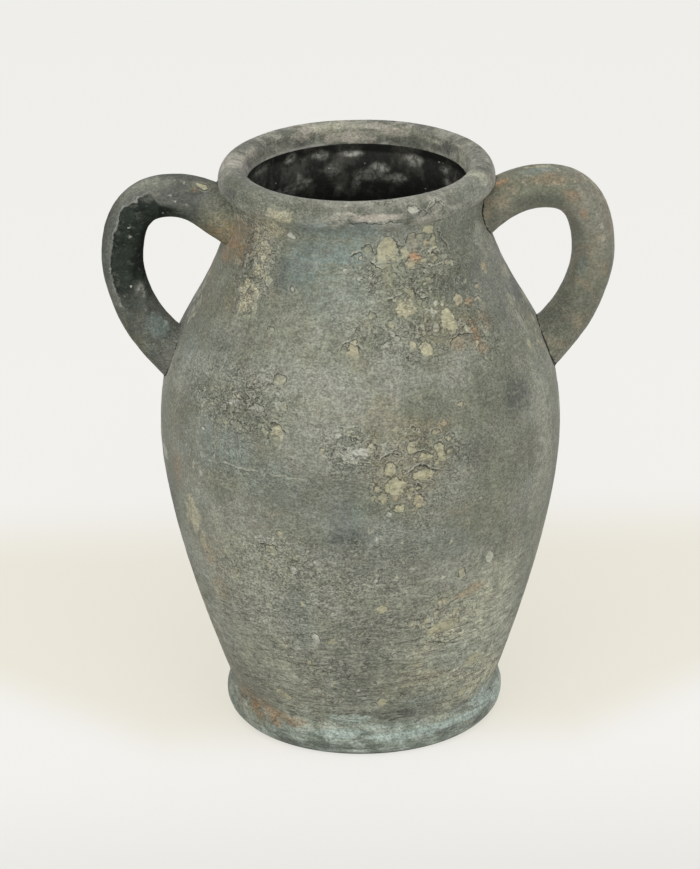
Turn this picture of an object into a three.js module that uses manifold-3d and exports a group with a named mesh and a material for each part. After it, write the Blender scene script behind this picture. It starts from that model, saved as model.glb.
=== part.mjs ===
// Two-handled ceramic vase: a full belly on a rolled foot, a short neck with a thick lip,
// and two stout loop handles from neck to shoulder. Thrown and pulled pieces are separate
// bodies, with the slip and clay that lute them together as bodies of their own.
// Millimetres, +Z up, origin at the centre of the foot's underside, handles along X.

import * as THREE from 'three';
import { mergeVertices } from 'three/addons/utils/BufferGeometryUtils.js';
import Module from 'manifold-3d';

const wasm = await Module();
wasm.setup();
const { lerp, clamp } = THREE.MathUtils;

// Clearances and facet counts
const JOINT_GAP = 0.3;
const ROUND_SEGMENTS = 48;
const FOOT_ROLL_STEPS = 9;
const OUTER_WALL_STEPS = 22;
const INNER_WALL_STEPS = 15;
const FLOOR_FILLET_STEPS = 4;
const NECK_STEPS = 5;
const LIP_UNDER_STEPS = 4;
const LIP_OUTER_STEPS = 5;
const LIP_INNER_STEPS = 4;
const HANDLE_SIDES = 16;
const HANDLE_STEPS = 22;
const LUTING_STEPS = 6;

// Foot: a rolled ring, cut flat below and above
const FOOT_RADIUS = 79.1;
const FOOT_ROLL_RADIUS = 13.5;
const FOOT_BOTTOM_CUT = 1.8;
const FOOT_TOP_CUT = 5.0;
const FOOT_RING_WIDTH = 21;

// Belly
const BELLY_RADIUS = 113;
const BELLY_RISE = 152.6;
const BELLY_FULLNESS = 56;
const BELLY_SPRING_OUT = 1.5;
const BELLY_SPRING_RISE = 4;
const WALL = 8;
const FLOOR = 9;
const FLOOR_FILLET = 16;

// Shoulder and neck
const NECK_RADIUS = 70.3;
const SHOULDER_RISE = 127;
const SHOULDER_FULLNESS = 66.3;
const SHOULDER_SPREAD = 16.4;
const SHOULDER_DRAW = 65;
const NECK_JOINT_DROP = 8;

// Lip
const LIP_RADIUS = 77.2;
const LIP_RISE = 17.5;
const LIP_UNDER_DEPTH = 5.2;
const LIP_UNDER_HEIGHT = 4.2;
const LIP_CREST_HEIGHT = 10.5;
const LIP_OUTER_ROUND = 6.6;
const LIP_INNER_ROUND = 7.4;
const LIP_INNER_DROP = 3;
const LEDGE_DEPTH = 11;
const LEDGE_OVERHANG = 2.3;
const UNDERCUT_DROP = 11;
const UNDERCUT_THINNING = 1.6;

// Luting
const LUTING_THICKNESS = 1.6;
const LUTING_RECESS = 0.6;
const LUTING_PROUD = 0.7;
const LUTING_LOWER_LENGTH = 10;
const LUTING_UPPER_LENGTH = 14;

// Handles: the centreline hangs from the neck's level and ends on the walls
const HANDLE_THICKNESS = 23.8;
const HANDLE_WIDTH = 26.6;
const HANDLE_REACH_OUT = 61.2;
const HANDLE_REACH_DROP = 27;
const HANDLE_CREST_RISE = 10.8;
const HANDLE_CREST_OUT = 34.7;
const UPPER_ROOT_DROP = 2;
const UPPER_ROOT_SPREAD = 4.4;
const LOWER_ROOT_DROP = 80;
const LOWER_ROOT_SPREAD = 4;
const ROOT_DEPTH = 14;

// The section swells by these shares of itself, over this share of the length at each end
const LOWER_ROOT_SWELL = 0.09;
const UPPER_ROOT_SWELL = 0.12;
const ROOT_SWELL_REACH = 0.3;

// Where the centreline ends in the walls, as shares of the root depth inwards and down
const LOWER_ROOT_END = [0.7, 0.62];
const UPPER_ROOT_END = [0.85, 0.5];

// Bends of the centreline between its named places, as shares of the way sideways and upward
const LOWER_BENDS = [[0.5, 0.295], [0.77, 0.545], [0.95, 0.81]];
const OUTER_BENDS = [[0.14, 0.62], [0.48, 0.91]];
const UPPER_BENDS = [[0.38, 0.12], [0.71, 0.5]];

// Levels and radii that follow from the sizes above
const footRollLevel = FOOT_ROLL_RADIUS - FOOT_BOTTOM_CUT;
const footRollCentre = FOOT_RADIUS - FOOT_ROLL_RADIUS;
const footTop = footRollLevel + FOOT_ROLL_RADIUS - FOOT_TOP_CUT;
const footInner = FOOT_RADIUS - FOOT_RING_WIDTH;
const footLutingBase = footTop + JOINT_GAP;
const bellyBase = footLutingBase + LUTING_THICKNESS + JOINT_GAP;
const bellyLevel = bellyBase + BELLY_RISE;
const neckLevel = bellyLevel + SHOULDER_RISE;
const neckJoint = neckLevel - NECK_JOINT_DROP;
const neckLutingBase = neckJoint + JOINT_GAP;
const neckBase = neckLutingBase + LUTING_THICKNESS + JOINT_GAP;
const lipLevel = neckLevel + LIP_RISE;
const crestLevel = lipLevel + LIP_CREST_HEIGHT;
const baseRadius = footRollCentre + Math.sqrt(FOOT_ROLL_RADIUS ** 2 - (footTop - footRollLevel) ** 2);
const crestRadius = LIP_RADIUS - LIP_OUTER_ROUND;
const throatRadius = NECK_RADIUS - WALL + UNDERCUT_THINNING;
const ledgeRadius = throatRadius - LEDGE_OVERHANG;
const ledgeLevel = crestLevel - LEDGE_DEPTH;
const undercutLevel = ledgeLevel - UNDERCUT_DROP;

// Wall outline: x is the radius and y the height
const point = (radius, height) => new THREE.Vector2(radius, height);

const bellyCurve = new THREE.CubicBezierCurve(
  point(baseRadius, bellyBase),
  point(baseRadius + BELLY_SPRING_OUT, bellyBase + BELLY_SPRING_RISE),
  point(BELLY_RADIUS, bellyLevel - BELLY_FULLNESS),
  point(BELLY_RADIUS, bellyLevel),
);

const shoulderCurve = new THREE.CubicBezierCurve(
  point(BELLY_RADIUS, bellyLevel),
  point(BELLY_RADIUS, bellyLevel + SHOULDER_FULLNESS),
  point(NECK_RADIUS + SHOULDER_SPREAD, neckLevel - SHOULDER_DRAW),
  point(NECK_RADIUS, neckLevel),
);

// The neck rises to a crease, and the lip's underside bulges out over it
const creaseLevel = lipLevel - LIP_UNDER_HEIGHT;
const creaseRadius = LIP_RADIUS - LIP_UNDER_DEPTH;

const neckCurve = new THREE.QuadraticBezierCurve(
  point(NECK_RADIUS, neckLevel),
  point(NECK_RADIUS, (neckLevel + creaseLevel) / 2),
  point(creaseRadius, creaseLevel),
);

function arcPoints(centre, radiusX, radiusY, from, to, count) {
  return new THREE.EllipseCurve(centre.x, centre.y, radiusX, radiusY, from, to, to < from).getPoints(count);
}

const QUARTER = Math.PI / 2;
const lipCentre = point(creaseRadius, lipLevel);
const underLip = (count) => arcPoints(lipCentre, LIP_UNDER_DEPTH, LIP_UNDER_HEIGHT, -QUARTER, 0, count);

const SAMPLES = 240;
const wallSamples = [
  ...bellyCurve.getPoints(SAMPLES),
  ...shoulderCurve.getPoints(SAMPLES).slice(1),
  ...neckCurve.getPoints(SAMPLES).slice(1),
  ...underLip(SAMPLES).slice(1),
];

// Outer radius of the wall at a height, read off the outline
function wallRadius(height) {
  const upper = wallSamples.findIndex((sample) => sample.y >= height);
  if (upper <= 0) {
    return upper < 0 ? LIP_RADIUS : baseRadius;
  }
  const above = wallSamples[upper];
  const below = wallSamples[upper - 1];
  const share = (height - below.y) / (above.y - below.y);
  return lerp(below.x, above.x, share);
}

// Wall points from one height to another, moved sideways by an offset
function wallPoints(from, to, count, offset = 0) {
  return Array.from({ length: count + 1 }, (_, index) => {
    const height = lerp(from, to, index / count);
    return point(wallRadius(height) + offset, height);
  });
}

// A closed outline, turned round +Z; it lists its points with the material on the left
function turned(outline) {
  const geometry = new THREE.LatheGeometry(outline, ROUND_SEGMENTS);
  geometry.rotateX(Math.PI / 2);
  return geometry;
}

function ringOutline(inner, outer, low, high) {
  return [point(inner, low), point(outer, low), point(outer, high), point(inner, high), point(inner, low)];
}

// Solids for joining and cutting
function solidOf(geometry) {
  const bare = geometry.clone();
  bare.deleteAttribute('normal');
  bare.deleteAttribute('uv');
  const merged = mergeVertices(bare, 1e-4);
  const corners = merged.index.array;
  const kept = [];
  for (let index = 0; index < corners.length; index += 3) {
    const [a, b, c] = corners.slice(index, index + 3);
    if (a !== b && b !== c && c !== a) {
      kept.push(a, b, c);
    }
  }
  return new wasm.Manifold(
    new wasm.Mesh({
      numProp: 3,
      vertProperties: new Float32Array(merged.attributes.position.array),
      triVerts: new Uint32Array(kept),
    }),
  );
}

function geometryOf(solid) {
  const mesh = solid.getMesh();
  const geometry = new THREE.BufferGeometry();
  geometry.setAttribute('position', new THREE.BufferAttribute(new Float32Array(mesh.vertProperties), 3));
  geometry.setIndex(new THREE.BufferAttribute(new Uint32Array(mesh.triVerts), 1));
  geometry.computeVertexNormals();
  return geometry;
}

// Foot ring: the roll's arc outside, a straight bore inside
function footRing() {
  const bottomAngle = -Math.asin(footRollLevel / FOOT_ROLL_RADIUS);
  const topAngle = Math.asin((footTop - footRollLevel) / FOOT_ROLL_RADIUS);
  const centre = point(footRollCentre, footRollLevel);
  return turned([
    point(footInner, 0),
    ...arcPoints(centre, FOOT_ROLL_RADIUS, FOOT_ROLL_RADIUS, bottomAngle, topAngle, FOOT_ROLL_STEPS),
    point(footInner, footTop),
    point(footInner, 0),
  ]);
}

// Slip between two stacked rings, drawn back a little from the outer face
function slipRing(inner, outer, base) {
  return turned(ringOutline(inner, outer - LUTING_RECESS, base, base + LUTING_THICKNESS));
}

// Belly and shoulder: outer wall up, inner wall down, flat floor
function belly() {
  const floorTop = bellyBase + FLOOR;
  const filletTop = floorTop + FLOOR_FILLET;
  const fillet = new THREE.QuadraticBezierCurve(
    point(wallRadius(filletTop) - WALL, filletTop),
    point(wallRadius(floorTop) - WALL, floorTop),
    point(wallRadius(floorTop) - WALL - FLOOR_FILLET, floorTop),
  );
  return turned([
    point(0, bellyBase),
    ...wallPoints(bellyBase, neckJoint, OUTER_WALL_STEPS),
    ...wallPoints(neckJoint, filletTop, INNER_WALL_STEPS, -WALL),
    ...fillet.getPoints(FLOOR_FILLET_STEPS).slice(1),
    point(0, floorTop),
  ]);
}

// Neck and lip: up to the crease, out under the lip, over the crest, down to the sharp ledge
function neckRim() {
  const outerCentre = point(crestRadius, lipLevel);
  const innerCentre = point(crestRadius, crestLevel - LIP_INNER_DROP);
  const outerRound = arcPoints(outerCentre, LIP_OUTER_ROUND, LIP_CREST_HEIGHT, 0, QUARTER, LIP_OUTER_STEPS);
  const innerRound = arcPoints(
    innerCentre, LIP_INNER_ROUND, LIP_INNER_DROP, QUARTER, 2 * QUARTER, LIP_INNER_STEPS,
  );
  return turned([
    ...wallPoints(neckBase, creaseLevel, NECK_STEPS),
    ...underLip(LIP_UNDER_STEPS).slice(1),
    ...outerRound.slice(1),
    ...innerRound.slice(1),
    point(ledgeRadius, ledgeLevel),
    point(throatRadius, (ledgeLevel + undercutLevel) / 2),
    point(throatRadius, undercutLevel),
    point(wallRadius(neckBase) - WALL, neckBase),
    point(wallRadius(neckBase), neckBase),
  ]);
}

// Handle centreline in the X-Z plane, from inside the shoulder wall to inside the neck wall
const space = (radius, height) => new THREE.Vector3(radius, 0, height);

function bendsBetween(start, end, bends) {
  return bends.map(([across, up]) => space(lerp(start.x, end.x, across), lerp(start.z, end.z, up)));
}

function rootEnd(root, [inward, down]) {
  return space(root.x - ROOT_DEPTH * inward, root.z - ROOT_DEPTH * down);
}

function handleCurve() {
  const lowerLevel = neckLevel - LOWER_ROOT_DROP;
  const upperLevel = neckLevel - UPPER_ROOT_DROP;
  const lower = space(wallRadius(lowerLevel), lowerLevel);
  const upper = space(wallRadius(upperLevel), upperLevel);
  const reach = space(upper.x + HANDLE_REACH_OUT, neckLevel - HANDLE_REACH_DROP);
  const crest = space(upper.x + HANDLE_CREST_OUT, neckLevel + HANDLE_CREST_RISE);
  return new THREE.CatmullRomCurve3([
    rootEnd(lower, LOWER_ROOT_END),
    lower,
    ...bendsBetween(lower, reach, LOWER_BENDS),
    reach,
    ...bendsBetween(reach, crest, OUTER_BENDS),
    crest,
    ...bendsBetween(crest, upper, UPPER_BENDS),
    upper,
    rootEnd(upper, UPPER_ROOT_END),
  ]);
}

// A closed tube along part of a curve in the X-Z plane, with an oval section at each step
function tubeAlong(curve, from, to, steps, sectionAt) {
  const positions = [];
  const indices = [];
  const side = new THREE.Vector3(0, 1, 0);
  for (let step = 0; step <= steps; step += 1) {
    const share = lerp(from, to, step / steps);
    const centre = curve.getPointAt(share);
    const outward = new THREE.Vector3().crossVectors(side, curve.getTangentAt(share));
    const { thickness, width } = sectionAt(share);
    for (let corner = 0; corner < HANDLE_SIDES; corner += 1) {
      const angle = (2 * Math.PI * corner) / HANDLE_SIDES;
      const vertex = centre
        .clone()
        .addScaledVector(outward, (Math.cos(angle) * thickness) / 2)
        .addScaledVector(side, (Math.sin(angle) * width) / 2);
      positions.push(vertex.x, vertex.y, vertex.z);
    }
  }
  for (let step = 0; step < steps; step += 1) {
    for (let corner = 0; corner < HANDLE_SIDES; corner += 1) {
      const next = (corner + 1) % HANDLE_SIDES;
      const a = step * HANDLE_SIDES + corner;
      const b = step * HANDLE_SIDES + next;
      const c = a + HANDLE_SIDES;
      const d = b + HANDLE_SIDES;
      indices.push(a, b, d, a, d, c);
    }
  }
  const last = steps * HANDLE_SIDES;
  for (let corner = 1; corner < HANDLE_SIDES - 1; corner += 1) {
    indices.push(0, corner + 1, corner);
    indices.push(last, last + corner, last + corner + 1);
  }
  const geometry = new THREE.BufferGeometry();
  geometry.setAttribute('position', new THREE.Float32BufferAttribute(positions, 3));
  geometry.setIndex(indices);
  geometry.computeVertexNormals();
  return geometry;
}

const handleLine = handleCurve();
const handleLength = handleLine.getLength();
const rootShare = (ROOT_DEPTH + LUTING_LOWER_LENGTH) / handleLength;
const crownShare = 1 - (ROOT_DEPTH + LUTING_UPPER_LENGTH) / handleLength;
const gapShare = JOINT_GAP / handleLength;

// The handle swells a little towards each root, and its luting spreads on to the wall
function handleSection(share) {
  const lowerNearness = Math.max(0, 1 - share / ROOT_SWELL_REACH);
  const upperNearness = Math.max(0, 1 - (1 - share) / ROOT_SWELL_REACH);
  const swell = 1 + LOWER_ROOT_SWELL * lowerNearness ** 2 + UPPER_ROOT_SWELL * upperNearness ** 2;
  return { thickness: HANDLE_THICKNESS * swell, width: HANDLE_WIDTH * swell };
}

function lutingSection(end, edge, spread) {
  return (share) => {
    const { thickness, width } = handleSection(share);
    const nearness = clamp((edge - share) / (edge - end), 0, 1);
    const growth = 2 * LUTING_PROUD + 2 * spread * nearness ** 2;
    return { thickness: thickness + growth, width: width + growth };
  };
}

// The outside of the whole wall as one solid, moved out by the gap that a luted piece keeps
function wallSkin() {
  return solidOf(
    turned([
      point(0, bellyBase),
      ...wallPoints(bellyBase, neckJoint, OUTER_WALL_STEPS, JOINT_GAP),
      ...wallPoints(neckBase, creaseLevel - JOINT_GAP, NECK_STEPS, JOINT_GAP),
      ...underLip(LIP_UNDER_STEPS)
        .slice(1)
        .map((place) => point(place.x + JOINT_GAP, place.y - JOINT_GAP)),
      point(0, lipLevel),
    ]),
  );
}

const skin = wallSkin();

function handleBody() {
  return tubeAlong(handleLine, rootShare, crownShare, HANDLE_STEPS, handleSection);
}

function lowerLuting() {
  const edge = rootShare - gapShare;
  const tube = tubeAlong(handleLine, 0, edge, LUTING_STEPS, lutingSection(0, edge, LOWER_ROOT_SPREAD));
  return geometryOf(solidOf(tube).subtract(skin));
}

function upperLuting() {
  const edge = crownShare + gapShare;
  const tube = tubeAlong(handleLine, edge, 1, LUTING_STEPS, lutingSection(1, edge, UPPER_ROOT_SPREAD));
  return geometryOf(solidOf(tube).subtract(skin));
}

// Materials: weathered matte clay under a thin grey-green skin
function clay(colour, roughness) {
  return new THREE.MeshStandardMaterial({ color: colour, roughness, metalness: 0 });
}

const bodyClay = () => clay(0x77796b, 0.9);
const footClay = () => clay(0x6c7368, 0.92);
const rimClay = () => clay(0x8a8578, 0.9);
const handleClay = () => clay(0x73715f, 0.88);
const slipClay = () => clay(0x4a4a40, 0.95);

const neckJointRadius = wallRadius(neckJoint);
const vase = new THREE.Group();

function addPiece(name, geometry, material, parent = vase) {
  const piece = new THREE.Mesh(geometry, material);
  piece.name = name;
  parent.add(piece);
}

addPiece('foot_ring', footRing(), footClay());
addPiece('foot_luting', slipRing(footInner, baseRadius, footLutingBase), slipClay());
addPiece('belly', belly(), bodyClay());
addPiece('neck_luting', slipRing(neckJointRadius - WALL, neckJointRadius, neckLutingBase), slipClay());
addPiece('neck_rim', neckRim(), rimClay());

// The left handle is the right one turned half round
for (const [side, turn] of [['right', 0], ['left', Math.PI]]) {
  const sideGroup = new THREE.Group();
  sideGroup.rotation.z = turn;
  vase.add(sideGroup);
  addPiece(`handle_${side}`, handleBody(), handleClay(), sideGroup);
  addPiece(`handle_${side}_lower_luting`, lowerLuting(), slipClay(), sideGroup);
  addPiece(`handle_${side}_upper_luting`, upperLuting(), slipClay(), sideGroup);
}

export default vase;
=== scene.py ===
# Looks of the two-handled ceramic vase: a fine, worn surface over each body of the frame.
# Lengths are in millimetres until a mesh is made. Angles round the vase are 0 at the front
# and 90 degrees at the right handle. Marks that the photograph shows are placed by its pixels.

import math

import bpy
import numpy as np
from mathutils import Matrix, Vector


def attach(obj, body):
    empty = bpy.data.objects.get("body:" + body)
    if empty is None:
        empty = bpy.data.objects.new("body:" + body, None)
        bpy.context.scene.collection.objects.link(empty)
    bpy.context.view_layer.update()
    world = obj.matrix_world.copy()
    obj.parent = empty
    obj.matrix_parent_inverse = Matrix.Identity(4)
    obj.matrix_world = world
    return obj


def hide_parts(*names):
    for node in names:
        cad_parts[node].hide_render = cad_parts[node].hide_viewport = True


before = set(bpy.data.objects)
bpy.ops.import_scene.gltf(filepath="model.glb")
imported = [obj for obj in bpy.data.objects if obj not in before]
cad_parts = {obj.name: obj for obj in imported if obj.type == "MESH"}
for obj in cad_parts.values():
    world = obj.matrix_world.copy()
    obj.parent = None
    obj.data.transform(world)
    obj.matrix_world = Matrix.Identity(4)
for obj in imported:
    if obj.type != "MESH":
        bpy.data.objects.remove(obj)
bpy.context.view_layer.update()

MM = 0.001

# Driving sizes, the same as the frame's
FOOT_RADIUS = 79.1
FOOT_ROLL_RADIUS = 13.5
FOOT_BOTTOM_CUT = 1.8
FOOT_TOP_CUT = 5.0
FOOT_RING_WIDTH = 21.0
BELLY_RADIUS = 113.0
BELLY_RISE = 152.6
BELLY_FULLNESS = 56.0
BELLY_SPRING_OUT = 1.5
BELLY_SPRING_RISE = 4.0
WALL = 8.0
FLOOR = 9.0
FLOOR_FILLET = 16.0
NECK_RADIUS = 70.3
SHOULDER_RISE = 127.0
SHOULDER_FULLNESS = 66.3
SHOULDER_SPREAD = 16.4
SHOULDER_DRAW = 65.0
NECK_JOINT_DROP = 8.0
LIP_RADIUS = 77.2
LIP_RISE = 17.5
LIP_UNDER_DEPTH = 5.2
LIP_UNDER_HEIGHT = 4.2
LIP_CREST_HEIGHT = 10.5
LIP_OUTER_ROUND = 6.6
LIP_INNER_ROUND = 7.4
LIP_INNER_DROP = 3.0
LEDGE_DEPTH = 11.0
LEDGE_OVERHANG = 2.3
UNDERCUT_DROP = 11.0
UNDERCUT_THINNING = 1.6
LUTING_LAYER = 2.2
HANDLE_THICKNESS = 23.8
HANDLE_WIDTH = 26.6
HANDLE_REACH_OUT = 61.2
HANDLE_REACH_DROP = 27.0
HANDLE_CREST_RISE = 10.8
HANDLE_CREST_OUT = 34.7
UPPER_ROOT_DROP = 2.0
LOWER_ROOT_DROP = 80.0
ROOT_DEPTH = 14.0
LUTING_LOWER_LENGTH = 10.0
LUTING_UPPER_LENGTH = 14.0

# The photograph's camera: where it stands and how the picture is turned
CAMERA_ELEVATION = 22.08
CAMERA_AZIMUTH = -1.5
CAMERA_ROLL = -0.93
CAMERA_DISTANCE = 2844.0
CAMERA_TARGET = (-6.0, 0.0, 166.0)
FOCAL_PIXELS = 5012.8
PICTURE_WIDTH = 700.0
PICTURE_HEIGHT = 869.0
SENSOR = 36.0

# Fineness of the meshes
FRONT_HALF_ANGLE = 80.0
FRONT_COLUMNS = 340
BACK_COLUMNS = 200
ROW_STEP = 0.9
SIDES = 72
HANDLE_RINGS = 200

foot_roll_level = FOOT_ROLL_RADIUS - FOOT_BOTTOM_CUT
foot_roll_centre = FOOT_RADIUS - FOOT_ROLL_RADIUS
foot_top = foot_roll_level + FOOT_ROLL_RADIUS - FOOT_TOP_CUT
foot_inner = FOOT_RADIUS - FOOT_RING_WIDTH
belly_base = foot_top + LUTING_LAYER
belly_level = belly_base + BELLY_RISE
neck_level = belly_level + SHOULDER_RISE
neck_joint = neck_level - NECK_JOINT_DROP
lip_level = neck_level + LIP_RISE
crease_level = lip_level - LIP_UNDER_HEIGHT
crease_radius = LIP_RADIUS - LIP_UNDER_DEPTH
crest_level = lip_level + LIP_CREST_HEIGHT
base_radius = foot_roll_centre + math.sqrt(FOOT_ROLL_RADIUS**2 - (foot_top - foot_roll_level) ** 2)
crest_radius = LIP_RADIUS - LIP_OUTER_ROUND
throat_radius = NECK_RADIUS - WALL + UNDERCUT_THINNING
ledge_radius = throat_radius - LEDGE_OVERHANG
ledge_level = crest_level - LEDGE_DEPTH
QUARTER = math.pi / 2


# Outlines, as rows of radius and height
def bezier(points, count=240):
    a, b, c, d = np.array(points, float)
    t = np.linspace(0, 1, count + 1)[:, None]
    return (1 - t) ** 3 * a + 3 * (1 - t) ** 2 * t * b + 3 * (1 - t) * t**2 * c + t**3 * d


def quadratic(start, middle, end, count=120):
    t = np.linspace(0, 1, count + 1)[:, None]
    return (1 - t) ** 2 * np.array(start) + 2 * (1 - t) * t * np.array(middle) + t**2 * np.array(end)


def arc_points(centre, radii, start, end, count):
    angle = np.linspace(start, end, count + 1)
    return np.stack([centre[0] + radii[0] * np.cos(angle), centre[1] + radii[1] * np.sin(angle)], 1)


def line_points(start, end, count):
    return np.linspace(start, end, count + 1)


outline = np.vstack([
    bezier([
        (base_radius, belly_base),
        (base_radius + BELLY_SPRING_OUT, belly_base + BELLY_SPRING_RISE),
        (BELLY_RADIUS, belly_level - BELLY_FULLNESS),
        (BELLY_RADIUS, belly_level),
    ]),
    bezier([
        (BELLY_RADIUS, belly_level),
        (BELLY_RADIUS, belly_level + SHOULDER_FULLNESS),
        (NECK_RADIUS + SHOULDER_SPREAD, neck_level - SHOULDER_DRAW),
        (NECK_RADIUS, neck_level),
    ])[1:],
    quadratic(
        (NECK_RADIUS, neck_level),
        (NECK_RADIUS, (neck_level + crease_level) / 2),
        (crease_radius, crease_level),
    )[1:],
    arc_points((crease_radius, lip_level), (LIP_UNDER_DEPTH, LIP_UNDER_HEIGHT), -QUARTER, 0, 60)[1:],
])
foot_roll_low = -math.asin(foot_roll_level / FOOT_ROLL_RADIUS)
foot_roll_high = math.asin((foot_top - foot_roll_level) / FOOT_ROLL_RADIUS)
foot_roll_middle = (foot_roll_centre, foot_roll_level)
foot_roll = arc_points(foot_roll_middle, (FOOT_ROLL_RADIUS,) * 2, foot_roll_low, foot_roll_high, 40)
lip_roll = arc_points((crest_radius, lip_level), (LIP_OUTER_ROUND, LIP_CREST_HEIGHT), 0, QUARTER, 24)
skin_outline = np.vstack([foot_roll, outline, lip_roll[1:]])


def wall_radius(height):
    return np.interp(height, outline[:, 1], outline[:, 0])


def wall_slope(height, span=0.6):
    """Lean of the wall's outward normal above the horizontal."""
    return np.arctan2(wall_radius(height - span) - wall_radius(height + span), 2 * span)


def wall_points(low, high, step, offset=0.0):
    """Wall outline from one height to another, at even steps along it."""
    height = np.linspace(low, high, 2000)
    radius = wall_radius(height)
    travel = np.concatenate([[0], np.cumsum(np.hypot(np.diff(radius), np.diff(height)))])
    even = np.interp(np.linspace(0, travel[-1], round(travel[-1] / step) + 1), travel, height)
    return np.stack([wall_radius(even) + offset, even], 1)


# Lines of sight of the photograph
tilt = math.radians(CAMERA_ELEVATION)
stand = Vector(CAMERA_TARGET) + Vector((0, -math.cos(tilt), math.sin(tilt))) * CAMERA_DISTANCE
camera_matrix = (
    Matrix.Rotation(math.radians(CAMERA_AZIMUTH), 4, "Z")
    @ Matrix.Translation(stand * MM)
    @ Matrix.Rotation(QUARTER - tilt, 4, "X")
    @ Matrix.Rotation(math.radians(CAMERA_ROLL), 4, "Z")
)
eye = np.array(camera_matrix.translation) / MM
SIGHT_HALF_RANGE = 220
SIGHT_STEP = 0.25
SIGHT_DEPTHS = np.arange(
    CAMERA_DISTANCE - SIGHT_HALF_RANGE, CAMERA_DISTANCE + SIGHT_HALF_RANGE, SIGHT_STEP
)


def sight(x, y):
    """Points along the line of sight through a pixel, nearest first."""
    aim = Vector((x - PICTURE_WIDTH / 2, PICTURE_HEIGHT / 2 - y, -FOCAL_PIXELS)).normalized()
    return eye + np.array(camera_matrix.to_3x3() @ aim) * SIGHT_DEPTHS[:, None]


def on_wall(x, y):
    """Angle and height of the outside skin at a pixel."""
    track = sight(x, y)
    skin = np.interp(track[:, 2], skin_outline[:, 1], skin_outline[:, 0], right=0.0)
    gap = np.hypot(track[:, 0], track[:, 1]) - skin
    hit = track[np.argmax(gap < 0) if (gap < 0).any() else np.argmin(gap)]
    return math.atan2(hit[0], -hit[1]), hit[2]


def on_far_side(x, y, radius):
    """Angle and height at a pixel of the far inside of a cylinder."""
    track = sight(x, y)
    inside = np.hypot(track[:, 0], track[:, 1]) < radius
    last = len(track) - 1 - np.argmax(inside[::-1])
    hit = track[last if inside.any() else np.argmin(np.hypot(track[:, 0], track[:, 1]))]
    return math.atan2(hit[0], -hit[1]), hit[2]


def on_throat(x, y):
    return on_far_side(x, y, throat_radius)


def on_slope(x, y):
    """The lip's inner slope."""
    return on_far_side(x, y, (ledge_radius + crest_radius) / 2)


def on_crest(x, y):
    return on_far_side(x, y, crest_radius)


def in_picture(positions):
    """Pixels at which points of the model show."""
    inverse = np.array(camera_matrix.to_3x3().transposed())
    local = (np.asarray(positions) - eye) @ inverse.T
    scale = -FOCAL_PIXELS / local[..., 2]
    return np.stack([
        PICTURE_WIDTH / 2 + local[..., 0] * scale,
        PICTURE_HEIGHT / 2 - local[..., 1] * scale,
    ], -1)


# Smooth seeded noise in space, -1 to 1
def lattice_noise(points, scale, seed):
    p = np.asarray(points, float) / scale
    cell = np.floor(p).astype(np.int64)
    f = p - cell
    f = f * f * f * (f * (f * 6 - 15) + 10)
    total = np.zeros(len(p))
    for dx in (0, 1):
        for dy in (0, 1):
            for dz in (0, 1):
                x, y, z = cell[:, 0] + dx, cell[:, 1] + dy, cell[:, 2] + dz
                h = (x * 73856093) ^ (y * 19349663) ^ (z * 83492791) ^ (seed * 2654435761)
                h = (h ^ (h >> 13)) * 1274126177
                h = (h ^ (h >> 16)) & 0xFFFFFF
                value = h / 0x7FFFFF - 1.0
                wx = f[:, 0] if dx else 1 - f[:, 0]
                wy = f[:, 1] if dy else 1 - f[:, 1]
                wz = f[:, 2] if dz else 1 - f[:, 2]
                total += value * wx * wy * wz
    return total


LAYER_SHARE = 0.55
NOISE_WHOLE = 1.6


def layered_noise(points, scale, seed, layers=3, stretch=(1, 1, 1)):
    p = np.asarray(points, float) / np.array(stretch, float)
    total = np.zeros(len(p))
    share = 1.0
    for layer in range(layers):
        total += share * lattice_noise(p, scale / 2**layer, seed + 17 * layer)
        share *= LAYER_SHARE
    return total / NOISE_WHOLE


def smooth_step(low, high, value):
    t = np.clip((value - low) / (high - low), 0, 1)
    return t * t * (3 - 2 * t)


LEAST_HALF = 0.6


class Place:
    """A spot on a surface: an angle, a level along it and half sizes in millimetres."""

    def __init__(self, angle, level, half_width, half_height, strength=1.0, lean=0.0):
        self.angle = angle
        self.level = level
        self.half_width = max(half_width, LEAST_HALF)
        self.half_height = max(half_height, LEAST_HALF)
        self.strength = strength
        self.lean = math.radians(lean)

    def offsets(self, angle, level, radius):
        """Sideways and upward distance from the place, turned by its lean."""
        across = ((angle - self.angle + math.pi) % (2 * math.pi) - math.pi) * radius
        up = level - self.level
        return (
            across * math.cos(self.lean) + up * math.sin(self.lean),
            up * math.cos(self.lean) - across * math.sin(self.lean),
        )


def seen(x, y, wide, tall, strength=1.0, lean=0.0, find=on_wall):
    """The place of a mark that is so many pixels wide and tall in the photograph."""
    angle, level = find(x, y)
    left, right = find(x - wide / 2, y)[0], find(x + wide / 2, y)[0]
    low, high = find(x, y + tall / 2)[1], find(x, y - tall / 2)[1]
    radius = float(wall_radius(level)) if find is on_wall else throat_radius
    turn = (right - left + math.pi) % (2 * math.pi) - math.pi
    return Place(angle, level, abs(turn) / 2 * radius, abs(high - low) / 2, strength, lean)


CLOUD_RAGGED = 0.4
CLOUD_EDGE = (0.35, 1.3)
BACK_ANGLES = (78, 282)
BACK_LEAN = 25


def cover(places, angle, level, radius, wobble):
    """Strongest of some soft clouds at each point."""
    total = np.zeros(len(angle))
    for place in places:
        u, v = place.offsets(angle, level, radius)
        reach = np.hypot(u / place.half_width, v / place.half_height) + CLOUD_RAGGED * wobble
        total = np.maximum(total, place.strength * (1 - smooth_step(*CLOUD_EDGE, reach)))
    return total


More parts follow.
